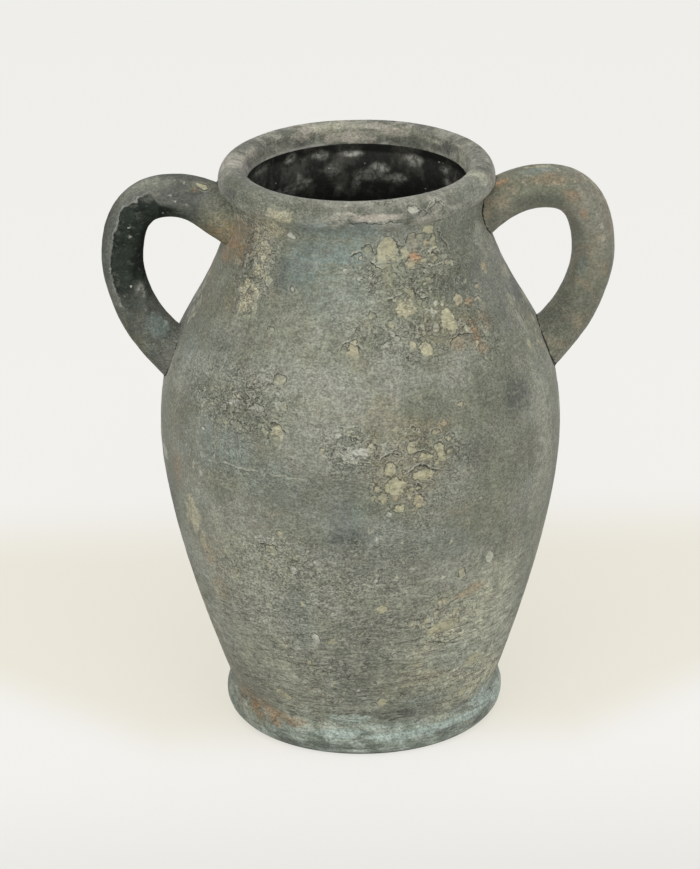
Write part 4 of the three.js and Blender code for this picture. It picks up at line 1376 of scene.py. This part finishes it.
def make_neck():
    outer = wall_points(wall_split, lip_level, ROW_STEP)
    inner_centre = (crest_radius, crest_level - LIP_INNER_DROP)
    crest = arc_points(inner_centre, (LIP_INNER_ROUND, LIP_INNER_DROP), QUARTER, 2 * QUARTER, 10)[1:]
    slope = line_points(crest[-1], (ledge_radius, ledge_level), 10)[1:]
    under = line_points(slope[-1], (throat_radius, ledge_level - UNDERCUT_DROP * 0.5), 5)[1:]
    throat_end = np.array([wall_radius(neck_joint) - WALL, wall_split])
    flare = (wall_radius(neck_joint - 2.0) - wall_radius(neck_joint)) / 2.0
    throat = quadratic(under[-1], throat_end + [-flare * THROAT_BEND, THROAT_BEND], throat_end, 16)[1:]
    bottom = line_points(throat[-1], outer[0], 3)[1:-1]
    profile = np.vstack([outer, lip_roll[1:], crest, slope, under, throat, bottom])
    positions, faces, tags, angle, height, radius = revolve(profile, True)
    row = np.repeat(np.arange(len(profile)), COLUMNS)
    ledge_row = len(outer) + len(lip_roll) - 1 + len(crest) + len(slope) - 1
    fields = wall_fields(positions, angle, height, radius)
    fields["rim"] = np.where(row > len(outer) + len(lip_roll), 1.0, fields["rim"])
    mouth_fields(fields, row > len(outer) + len(lip_roll), positions, angle, height, radius)
    # Painted highlight along the ledge's edge, at the listed places
    shine = cover(LEDGE_SHINES, angle, height, radius, 0 * angle)
    fields["ledge"] = shine * np.exp(-((row - ledge_row) / 1.5) ** 2)
    slopes = np.where(row < len(outer), wall_slope(height), np.repeat(profile_slopes(profile), COLUMNS))
    shift = np.where(row <= ledge_row, wall_relief(positions, fields), 0.0)
    positions = push_out(positions, angle, shift, slopes)
    index = tags >= ledge_row
    piece = mesh_object("neck_rim_clay", positions, faces, [rim_material, inside], index, fields)
    return dress(piece, "rim_clay", "neck_rim")


FOOT_FILLET = 5.0
FOOT_TUCK = 3.0
FOOT_TOP_GAP = 0.3
FOOT_LUMPS = 0.22
FOOT_SWAY = 0.3
FOOT_RINGS = 0.10


def make_foot():
    """The rolled ring, with a small concave fillet of slip up to the wall."""
    fillet_base = foot_roll[-1]
    fillet_top = (wall_radius(belly_base + FOOT_FILLET) + 0.12, belly_base + FOOT_FILLET)
    fillet = quadratic(fillet_base, (base_radius + 0.5, belly_base - 0.2), fillet_top, 12)[1:]
    tuck = line_points(fillet[-1], (base_radius - FOOT_TUCK, belly_base - FOOT_TOP_GAP), 3)[1:]
    top = line_points(tuck[-1], (foot_inner, belly_base - FOOT_TOP_GAP), 5)[1:]
    bore = line_points(top[-1], (foot_inner, 0), 6)[1:]
    base = line_points(bore[-1], foot_roll[0], 4)[1:-1]
    profile = np.vstack([foot_roll, fillet, tuck, top, bore, base])
    positions, faces, tags, angle, height, radius = revolve(profile, True)
    row = np.repeat(np.arange(len(profile)), COLUMNS)
    shown = row < len(foot_roll) + len(fillet)
    fields = wall_fields(positions, angle, height, radius)
    slopes = np.repeat(profile_slopes(profile), COLUMNS)
    lumps = FOOT_LUMPS * layered_noise(positions, 7, 61, 3)
    lumps += FOOT_SWAY * layered_noise(positions, 40, 62, 2)
    rings = FOOT_RINGS * layered_noise(positions, 2.6, 63, 2, (16, 16, 1))
    ease = smooth_step(0.5, 5, height) * shown * smooth_step(0, 2.5, fillet_top[1] - height)
    positions = push_out(positions, angle, (lumps + rings) * ease, slopes)
    piece = mesh_object("foot_ring_clay", positions, faces, [foot_material], None, fields)
    return dress(piece, "foot_clay", "foot_ring", "foot_luting")


# Handles
def catmull_rom(points, per_span=24):
    """The same centripetal curve that the frame's handles follow."""
    p = np.array(points, float)
    p = np.vstack([2 * p[0] - p[1], p, 2 * p[-1] - p[-2]])
    made = []
    for i in range(1, len(p) - 2):
        a, b, c, d = p[i - 1], p[i], p[i + 1], p[i + 2]
        t0 = np.linalg.norm(b - a) ** 0.5
        t1 = np.linalg.norm(c - b) ** 0.5
        t2 = np.linalg.norm(d - c) ** 0.5
        m1 = ((b - a) / t0 - (c - a) / (t0 + t1) + (c - b) / t1) * t1
        m2 = ((c - b) / t1 - (d - b) / (t1 + t2) + (d - c) / t2) * t1
        t = np.linspace(0, 1, per_span, endpoint=False)[:, None]
        made.append(
            b + m1 * t + (-3 * b + 3 * c - 2 * m1 - m2) * t**2 + (2 * b - 2 * c + m1 + m2) * t**3
        )
    made.append(p[-2:-1])
    return np.vstack(made)


def handle_line():
    lower_level = neck_level - LOWER_ROOT_DROP
    upper_level = neck_level - UPPER_ROOT_DROP
    lower = np.array([wall_radius(lower_level), lower_level])
    upper = np.array([wall_radius(upper_level), upper_level])
    reach = np.array([upper[0] + HANDLE_REACH_OUT, neck_level - HANDLE_REACH_DROP])
    crest = np.array([upper[0] + HANDLE_CREST_OUT, neck_level + HANDLE_CREST_RISE])

    def between(start, end, across, up):
        return start + (end - start) * [across, up]

    return catmull_rom([
        lower - [ROOT_DEPTH * 0.7, ROOT_DEPTH * 0.62],
        lower,
        between(lower, reach, 0.5, 0.295),
        between(lower, reach, 0.77, 0.545),
        between(lower, reach, 0.95, 0.81),
        reach,
        between(reach, crest, 0.14, 0.62),
        between(reach, crest, 0.48, 0.91),
        crest,
        between(crest, upper, 0.38, 0.12),
        between(crest, upper, 0.71, 0.5),
        upper,
        upper - [ROOT_DEPTH * 0.85, ROOT_DEPTH * 0.5],
    ])


EVEN_STEP = 0.25
LINE_WINDOW = 22


def smoothed(curve, window):
    """A curve at even steps, averaged over a window, with its ends kept."""
    length = np.concatenate([[0], np.cumsum(np.linalg.norm(np.diff(curve, axis=0), axis=1))])
    even = np.arange(0, length[-1], EVEN_STEP)
    points = np.stack([np.interp(even, length, curve[:, k]) for k in (0, 1)], 1)
    half = round(window / (2 * EVEN_STEP))
    padded = np.vstack([
        2 * points[0] - points[half:0:-1], points, 2 * points[-1] - points[-2:-half - 2:-1],
    ])
    kernel = np.hanning(2 * half + 3)[1:-1]
    return np.stack([np.convolve(padded[:, k], kernel / kernel.sum(), "valid") for k in (0, 1)], 1)


line = smoothed(handle_line(), LINE_WINDOW)
travel = np.concatenate([[0], np.cumsum(np.linalg.norm(np.diff(line, axis=0), axis=1))])
handle_length = travel[-1]
root_distance = ROOT_DEPTH + LUTING_LOWER_LENGTH
crown_distance = handle_length - ROOT_DEPTH - LUTING_UPPER_LENGTH
AROUND = np.arange(SIDES) * 2 * math.pi / SIDES
HANDLE_RADIUS = (HANDLE_THICKNESS + HANDLE_WIDTH) / 4


TANGENT_REACH = 0.8


def line_at(distance):
    point = np.stack([np.interp(distance, travel, line[:, k]) for k in (0, 1)], -1)
    ahead = np.stack([np.interp(distance + TANGENT_REACH, travel, line[:, k]) for k in (0, 1)], -1)
    behind_it = np.stack([np.interp(distance - TANGENT_REACH, travel, line[:, k]) for k in (0, 1)], -1)
    tangent = ahead - behind_it
    return point, tangent / np.linalg.norm(tangent, axis=-1, keepdims=True)


SWELL_REACH = 0.3
LOWER_SWELL = 0.09
UPPER_SWELL = 0.12


def handle_swell(distance):
    share = distance / handle_length
    lower = np.maximum(0, 1 - share / SWELL_REACH) ** 2
    upper = np.maximum(0, (share - (1 - SWELL_REACH)) / SWELL_REACH) ** 2
    return 1 + LOWER_SWELL * lower + UPPER_SWELL * upper


def tube_points(distance, around, grow=0.0):
    """Points on the right handle's skin; around is 0 on its outer side and 90 degrees in front."""
    centre, tangent = line_at(distance)
    outward = np.stack([tangent[..., 1], -tangent[..., 0]], -1)
    swell = handle_swell(distance)
    thick = (HANDLE_THICKNESS * swell) / 2 + grow
    wide = (HANDLE_WIDTH * swell) / 2 + grow
    flat = centre + outward * (np.cos(around) * thick)[..., None]
    return np.stack([flat[..., 0], -np.sin(around) * wide, flat[..., 1]], -1)


def sided(positions, side):
    """The left handle is the right one mirrored, so that the front stays in front."""
    return positions * [side, 1, 1]


def on_handle(side):
    """A finder of the distance along one handle and the angle around it, for a pixel."""
    distance, around = np.meshgrid(
        np.linspace(4, handle_length - 4, 260), np.linspace(-0.7, math.pi + 0.3, 60), indexing="ij"
    )
    shown = in_picture(sided(tube_points(distance, around), side))

    def find(x, y):
        nearest = np.argmin(np.hypot(shown[..., 0] - x, shown[..., 1] - y))
        return around.flat[nearest], distance.flat[nearest]

    return find


PIXEL = CAMERA_DISTANCE / FOCAL_PIXELS


def on_skin(find, x, y, size, strength=1.0, length=1.0):
    """A cloud on a handle, of a size in pixels and so many times longer along it than around."""
    around, distance = find(x, y)
    half = size * PIXEL / 2
    return Place(around, distance, half, half * length, strength)


RIGHT, LEFT = 1, -1
FINDERS = {side: on_handle(side) for side in (LEFT, RIGHT)}
find_left = FINDERS[LEFT]
# Clouds of the handles: x, y, size, strength and how many times longer along the handle
HANDLE_CLOUD_ROWS = {
    LEFT: {
        "brown": [
            (140, 344, 18, 0.6, 1.5), (112, 290, 10, 0.4, 2), (193, 190, 7, 0.9), (214, 189, 8, 0.9),
        ],
        "verdigris": [(166, 322, 7, 0.5, 1.4), (160, 312, 6, 0.4)],
        "chalk": [(141, 291, 14, 0.55, 1.7), (172, 194, 8, 0.4)],
        "dark": [
            (128, 305, 14, 0.8, 1.4), (196, 189, 12, 0.8), (185, 208, 18, 0.7, 1.5),
            (213, 190, 10, 0.6), (130, 318, 14, 0.8, 1.6), (104, 240, 24, 1.0, 2.5),
            (105, 270, 22, 1.0, 1.5), (115, 318, 8, 0.5, 2), (143, 303, 8, 0.5),
        ],
        "shade": [(196, 214, 26, 0.5, 1.2), (160, 335, 30, 0.6, 1.2), (132, 325, 40, 0.8, 1.6)],
        "blue": [(158, 325, 22, 0.8, 1.6), (150, 350, 20, 0.5)],
        "rust": [(194, 190, 4, 0.7)],
        # light here is partly painted light along the top of the handle
        "light": [(150, 181, 22, 0.55, 2.5)],
        "tan": [(214, 214, 30, 0.5), (122, 330, 16, 0.5, 2)],
    },
    RIGHT: {
        "rust": [
            (499, 184, 8, 0.8, 2), (551, 178, 14, 0.45, 2.5), (584, 214, 8, 0.6, 2),
            (573, 196, 14, 0.4, 1.5), (612, 262, 6, 0.6, 3), (605, 270, 8, 0.3, 2),
        ],
        "cream": [(536, 166, 10, 0.7, 3), (590, 180, 20, 0.5, 2)],
        # dark on the right handle is partly painted shade along its underside
        "dark": [
            (540, 198, 16, 0.7, 4), (576, 225, 12, 0.6, 4), (583, 255, 14, 0.4, 3),
            (562, 310, 34, 0.7, 2), (586, 300, 10, 0.5, 2), (492, 218, 12, 0.6),
        ],
        "blue": [(536, 171, 14, 0.7, 2), (583, 262, 10, 0.6, 4)],
        "brown": [(585, 320, 14, 0.5, 2), (528, 178, 20, 0.4, 2)],
        "pink": [(545, 180, 20, 0.4, 3), (600, 230, 12, 0.4, 4)],
    },
}
HANDLE_CLOUDS = {
    side: {name: [on_skin(FINDERS[side], *row) for row in rows] for name, rows in clouds.items()}
    for side, clouds in HANDLE_CLOUD_ROWS.items()
}
# Chips and specks of the handles: x, y, size in pixels, length against width, fill, line, warmth
HANDLE_CHIP_ROWS = {LEFT: [
    (204, 186.5, 9, 1.4, 1.0, 0.8, 0.45),
    (138.5, 211.2, 2.4, 1, 1, 0, 0), (176.4, 200.4, 2.6, 1, 1, 0, 0),
    (162.9, 212.8, 2.4, 1.4, 1, 0, 0), (150.8, 219.2, 2.4, 1, 1, 0, 0), (128.5, 227.8, 2.2, 1.3, 1, 0, 0),
    (130.4, 236.4, 2.2, 1, 0.5, 0, 0), (130.4, 267, 2.4, 1, 0.6, 0, 0), (130, 285.9, 2.4, 1.3, 1, 0, 0),
    (171.5, 211.5, 2.6, 1.5, 0.4, 0, 0), (124, 296, 3, 0.8, 0.4, 0, 0), (120, 306, 3, 1, 0.3, 0, 0),
    (125, 295.4, 4, 0.7, 0.6, 0, 0), (170, 194.5, 5.5, 1, 0.45, 0, 0), (172, 211.5, 4, 1.4, 0.5, 0, 0),
    (175, 180, 3, 1, 0.5, 0, 0), (188, 205, 4, 1, 0.4, 0, 0), (217, 198.5, 3.4, 1, 0.6, 0, 0),
    (146, 310, 4, 1, 0.4, 0, 0.2), (157, 298, 3, 1, 0.3, 0, 0), (184, 182, 3.4, 1, 0.5, 0, 0),
], RIGHT: [
    (499, 182, 6, 1.8, 0.6, 0.2, 0.9), (590, 222, 4, 1, 0.4, 0.2, 0.3), (560, 170, 4, 1, 0.5, 0, 0.3),
    (602, 206, 3.4, 1, 0.5, 0.3, 0.2), (574, 181, 4, 1, 0.4, 0, 0.5), (541, 176, 3, 1, 0.5, 0.2, 0),
]}
HANDLE_CHIPS = {
    side: [
        Chip(on_skin(FINDERS[side], x, y, size, 1.0, length), fill, line, warmth)
        for x, y, size, length, fill, line, warmth in rows
    ]
    for side, rows in HANDLE_CHIP_ROWS.items()
}

# Edge of the left handle's dark coat, from its lower end to its upper end
COAT_BORDER_SEEN = [
    (127, 310), (121, 300), (116, 289), (112.5, 280), (110, 268), (110, 254), (112, 245),
    (114, 235), (118, 226), (119.5, 216), (119, 212.5), (126, 206.5), (131, 202), (136.5, 200),
    (138, 197), (143, 193.5), (150, 193.5), (158, 200), (166, 203), (174, 205), (184, 208),
    (192, 213),
]
COAT_LOW_END = (131, 306)
COAT_LOW_FADE = 24.0
COAT_HIGH_END = (183, 210)
COAT_HIGH_FADE = 12.0
COAT_CRISP_END = (136, 199)
COAT_SOFT_END = (158, 192)
COAT_LEAST_CRISP = 0.25
COAT_WANDER = 1.2
COAT_WORN = [
    on_skin(find_left, 141, 291, 15, 0.8, 1.7), on_skin(find_left, 148, 199, 12, 0.4, 1.5),
    on_skin(find_left, 172, 194, 8, 0.6), on_skin(find_left, 143, 303, 10, 0.6, 1.5),
]


def coat_fields(around, distance, positions):
    """Distance inside the dark coat from its border, and its share left towards its two ends."""
    border = sorted((find_left(x, y) for x, y in COAT_BORDER_SEEN), key=lambda place: place[1])
    limit = np.interp(distance, [place[1] for place in border], [place[0] for place in border])
    wander = COAT_WANDER * layered_noise(positions, 12, 71, 3)
    low, high = find_left(*COAT_LOW_END)[1], find_left(*COAT_HIGH_END)[1]
    lower = smooth_step(-COAT_LOW_FADE, COAT_LOW_FADE, distance - low)
    upper = smooth_step(-COAT_HIGH_FADE, COAT_HIGH_FADE, high - distance)
    worn = cover(COAT_WORN, around, distance, np.full(len(around), HANDLE_RADIUS), 0 * around)
    crisp = smooth_step(find_left(*COAT_SOFT_END)[1], find_left(*COAT_CRISP_END)[1], distance)
    crisp = COAT_LEAST_CRISP + (1 - COAT_LEAST_CRISP) * crisp
    return {
        "coat": ((np.abs(around) - limit) * HANDLE_RADIUS + wander) * crisp,
        "coat_crisp": crisp,
        "coat_share": lower * upper * (1 - worn),
    }


def handle_fields(side, around, distance, positions):
    wobble = layered_noise(positions, 9, 51, 3)
    fields = blank_fields(len(around))
    radius = np.full(len(around), HANDLE_RADIUS)
    for name, places in HANDLE_CLOUDS[side].items():
        fields[name] = cover(places, around, distance, radius, wobble)
    fields |= chip_fields(HANDLE_CHIPS[side], around, distance, radius, positions)
    fields["rough"] += 0.12 + 0.15 * smooth_step(60, 0, distance)
    fields["flaky"] += 0.25 * smooth_step(70, 20, distance)
    if side == LEFT:
        fields |= coat_fields(around, distance, positions)
    return fields


JOINED_START = 8.0
JOINED_END = 9.0
JOINED_RUST = 0.35
JOINED_CREAM = 0.5


def joined_fields(fields, distance, positions):
    """The marks of a handle pass into the wall's towards its upper end."""
    share = smooth_step(crown_distance - JOINED_START, crown_distance + JOINED_END, distance)
    angle, height = np.arctan2(positions[:, 0], -positions[:, 1]), positions[:, 2]
    wall = wall_fields(positions, angle, height, wall_radius(height))
    wall["rim"] *= 0
    wall["rust"] *= JOINED_RUST
    wall["cream"] *= JOINED_CREAM
    fields = {name: values * (1 - share) + wall[name] * share for name, values in fields.items()}
    fields["joined"] = share
    return fields


def tube_faces(rings):
    """Points and faces of a capped tube whose rings are rows of SIDES points."""
    count = len(rings)
    positions = np.concatenate(rings)
    side = np.arange(SIDES)
    after = (side + 1) % SIDES
    faces = []
    for row in range(count - 1):
        low, high = row * SIDES, (row + 1) * SIDES
        faces += np.stack([low + side, low + after, high + after, high + side], 1).tolist()
    first, last = len(positions), len(positions) + 1
    positions = np.vstack([positions, rings[0].mean(0), rings[-1].mean(0)])
    top = (count - 1) * SIDES
    faces += [(first, int(after[k]), k) for k in range(SIDES)]
    faces += [(last, top + k, top + int(after[k])) for k in range(SIDES)]
    return positions, faces


def facing_out(positions, faces):
    """Turns every face round if the closed mesh would point inwards."""
    volume = 0.0
    for face in faces:
        a = positions[face[0]]
        for i in range(1, len(face) - 1):
            volume += np.dot(a, np.cross(positions[face[i]], positions[face[i + 1]]))
    return faces if volume > 0 else [tuple(reversed(face)) for face in faces]


def with_ends(values, rings):
    """A field's values on the rings, followed by those of the two cap centres."""
    return np.append(values, [values[0], values[-1]])


# Swellings of the left handle: pixel, height, reach, and 1 on its outer or -1 on its inner side
LEFT_SWELLS = [
    ((120, 192), -0.9, 24.0, 1), ((104, 278), -0.9, 14.0, 1),
    ((198, 221), 1.0, 14.0, -1), ((210, 231), 2.0, 11.0, -1),
]
ROOT_EXTRA = 1.3
ROOT_EXTRA_REACH = 55.0


def clay_tube(name, side, distances, grow, seam, material, slot, node):
    """A stretch of handle or luting: one row of distances and of growth for each ring."""
    rings = [tube_points(distance, AROUND, growth) for distance, growth in zip(distances, grow)]
    positions, faces = tube_faces(rings)
    around = with_ends(np.tile((AROUND + math.pi) % (2 * math.pi) - math.pi, len(rings)), rings)
    distance = with_ends(np.concatenate(distances), rings)
    centre, _ = line_at(distance)
    out = positions - np.stack([centre[:, 0], np.zeros(len(centre)), centre[:, 1]], 1)
    out /= np.maximum(np.linalg.norm(out, axis=1, keepdims=True), 1e-6)
    spot = sided(positions, side)
    shift = 0.4 * layered_noise(spot, 34, 201, 2) + 0.15 * layered_noise(spot, 5, 204, 3)
    outer = np.maximum(np.cos(around), 0)
    shift += ROOT_EXTRA * outer * smooth_step(ROOT_EXTRA_REACH, 12, distance)
    if side == LEFT:
        for place, swell, reach, facing in LEFT_SWELLS:
            bell = np.exp(-((distance - find_left(*place)[1]) / reach) ** 2)
            shift += swell * np.maximum(facing * np.cos(around), 0) * bell
    shift[-2:] = 0
    positions = sided(positions + out * shift[:, None], side)
    fields = handle_fields(side, around, distance, positions)
    if side == LEFT:
        fields = joined_fields(fields, distance, positions)
    fields["seam"] = with_ends(seam, rings) if seam is not None else fields["seam"]
    piece = mesh_object(name, positions, facing_out(positions, faces), [material], None, fields)
    return dress(piece, slot, node)


def make_handle(name, side, material):
    steps = np.linspace(root_distance, crown_distance, HANDLE_RINGS)
    distances = [np.full(SIDES, step) for step in steps]
    grow = [np.zeros(SIDES) for _ in steps]
    node = f"handle_{name}"
    return clay_tube(f"{node}_clay", side, distances, grow, None, material, "handle_clay", node)


LANDING_STEPS = 400
LANDING_STEP = 0.08
LANDING_DEPTH = 0.6


def landing(edge, direction, grow):
    """Distance along the handle, for each angle around it, at which its skin meets the wall."""
    distance = np.full(SIDES, float(edge))
    for _ in range(LANDING_STEPS):
        point = tube_points(distance, AROUND, grow)
        outside = np.hypot(point[:, 0], point[:, 1]) - (wall_radius(point[:, 2]) - LANDING_DEPTH)
        distance = np.where(outside > 0, distance + direction * LANDING_STEP, distance)
    return distance


LUTING_RINGS = 36
CLOSED_SEAM = 2.0


def make_luting(name, end, side, material, edge, direction, spread, openness):
    """A fillet from the handle's skin to the wall. spread: its reach outside, aside and inside."""
    outer, aside, inner = spread
    turn = np.cos(AROUND)
    reach = aside + (np.where(turn > 0, outer, inner) - aside) * turn**2
    stop = landing(edge, direction, reach)
    distances, grow, seam = [], [], []
    for bend in np.linspace(0, QUARTER, LUTING_RINGS):
        distance = edge + (stop - edge) * math.sin(bend)
        growth = reach * (1 - math.cos(bend))
        point = tube_points(distance, AROUND, growth)
        distances.append(distance)
        grow.append(growth)
        outside = np.hypot(point[:, 0], point[:, 1]) - wall_radius(point[:, 2])
        seam.append(outside + CLOSED_SEAM * (1 - openness))
    node, seam = f"handle_{name}_{end}_luting", np.concatenate(seam)
    return clay_tube(f"{node}_clay", side, distances, grow, seam, material, "luting_slip", node)


LOWER_SPREAD = (1.2, 1.2, 1.2)
make_belly()
make_neck()
make_foot()
for name, side, material, lower_open, upper_open, upper_spread in (
    ("right", RIGHT, right_handle_material, 1.0, 1.0, (2.4, 2.4, 2.0)),
    ("left", LEFT, left_handle_material, 0.6, 0.0, (3.0, 9.0, 2.0)),
):
    make_handle(name, side, material)
    make_luting(name, "lower", side, material, root_distance, -1, LOWER_SPREAD, lower_open)
    make_luting(name, "upper", side, material, crown_distance, 1, upper_spread, upper_open)


# Floor, light and camera
FLOOR_SHOWN = (240, 239, 235)
# Painted shadow: a warm, darker band round and behind the vase's base. Painted shade: darker towards the
# front
FLOOR_WARM_SHADOW = (233, 229, 217)
FLOOR_NEAR_SHADE = (226, 225, 221)
FLOOR_HALF = 6.0
FLOOR_GLOW = 1.08
FLOOR_SELF_LIGHT = 0.75
WARM_SHADOW_BACK = (0.20, 0.32)
WARM_SHADOW_FRONT = -0.06
WARM_SHADOW_SLANT = 0.9
WARM_SHADOW_FADE = (-0.03, 0.05)
WARM_SHADOW_HALF_WIDTH = 0.12
NEAR_SHADE_START = -0.05
NEAR_SHADE_END = -0.30


def floor_material():
    """Pale paper that shows its own colour to the camera and keeps a share of the shadow. Its colour
    holds a painted warm shadow round the vase's base and painted shade towards the front.
    """
    s = Shader("floor", 1.0, 0.0)
    across, depth, _ = s.axes()
    # Painted shadow round the vase's base, its front edge slanting forward beside the vase
    aside = s.math("SUBTRACT", s.math("ABSOLUTE", across), WARM_SHADOW_HALF_WIDTH)
    edge = s.math("MULTIPLY_ADD", s.math("MAXIMUM", aside, 0.0), WARM_SHADOW_SLANT, WARM_SHADOW_FRONT)
    warm = s.span(s.math("SUBTRACT", depth, edge), *WARM_SHADOW_FADE)
    warm = s.product(warm, s.span(depth, WARM_SHADOW_BACK[1], WARM_SHADOW_BACK[0]))
    # Painted shade towards the front, where the lamps light the floor most
    near = s.span(depth, NEAR_SHADE_START, NEAR_SHADE_END)
    colour = s.mix(near, linear(*FLOOR_SHOWN), linear(*FLOOR_NEAR_SHADE))
    colour = s.mix(warm, colour, linear(*FLOOR_WARM_SHADOW))
    s.put(s.surface.inputs["Base Color"], colour)
    glow = s.node("Emission", {"Color": colour, "Strength": FLOOR_GLOW})
    rays = s.node("LightPath")
    seen_directly = s.math("MAXIMUM", rays.outputs["Is Camera Ray"], rays.outputs["Is Glossy Ray"])
    share = s.product(seen_directly, FLOOR_SELF_LIGHT)
    both = s.node("MixShader", {0: share, 1: s.surface.outputs[0], 2: glow.outputs[0]})
    s.put(s.output.inputs[0], both.outputs[0])
    return s.material


def make_floor():
    corners = [(x * FLOOR_HALF, y * FLOOR_HALF, 0) for x, y in ((-1, -1), (1, -1), (1, 1), (-1, 1))]
    mesh = bpy.data.meshes.new("floor")
    mesh.from_pydata(corners, [], [(0, 1, 2, 3)])
    mesh.materials.append(floor_material())
    floor = bpy.data.objects.new("floor", mesh)
    bpy.context.collection.objects.link(floor)


SKY_TONE = (250, 250, 250)
SKY_STRENGTH = 0.62
LAMP_SIZE = 1.6
CAMERA_CLIP_END = 30
# Lamps: name, place, target in metres, watts
LAMPS = (("key", (0.0, -1.3, 2.1), (0, 0, 0.15), 25), ("fill", (-0.5, -2.4, 0.3), (0, 0, 0.1), 9))


def area_light(name, place, target, power):
    lamp = bpy.data.lights.new(name, "AREA")
    lamp.shape = "SQUARE"
    lamp.size = LAMP_SIZE
    lamp.energy = power
    holder = bpy.data.objects.new(name, lamp)
    bpy.context.collection.objects.link(holder)
    holder.location = place
    holder.visible_camera = False
    holder.rotation_euler = (Vector(target) - Vector(place)).to_track_quat("-Z", "Y").to_euler()


def make_light():
    world = bpy.data.worlds.new("studio")
    bpy.context.scene.world = world
    world.use_nodes = True
    background = world.node_tree.nodes["Background"]
    background.inputs["Color"].default_value = linear(*SKY_TONE)
    background.inputs["Strength"].default_value = SKY_STRENGTH
    for lamp in LAMPS:
        area_light(*lamp)


def make_camera():
    camera = bpy.data.cameras.new("camera")
    camera.sensor_fit = "VERTICAL"
    camera.sensor_height = SENSOR
    camera.lens = FOCAL_PIXELS / PICTURE_HEIGHT * SENSOR
    camera.clip_end = CAMERA_CLIP_END
    holder = bpy.data.objects.new("camera", camera)
    bpy.context.collection.objects.link(holder)
    holder.matrix_world = camera_matrix
    bpy.context.scene.camera = holder


make_floor()
make_light()
make_camera()
bpy.context.scene.view_settings.view_transform = "Standard"
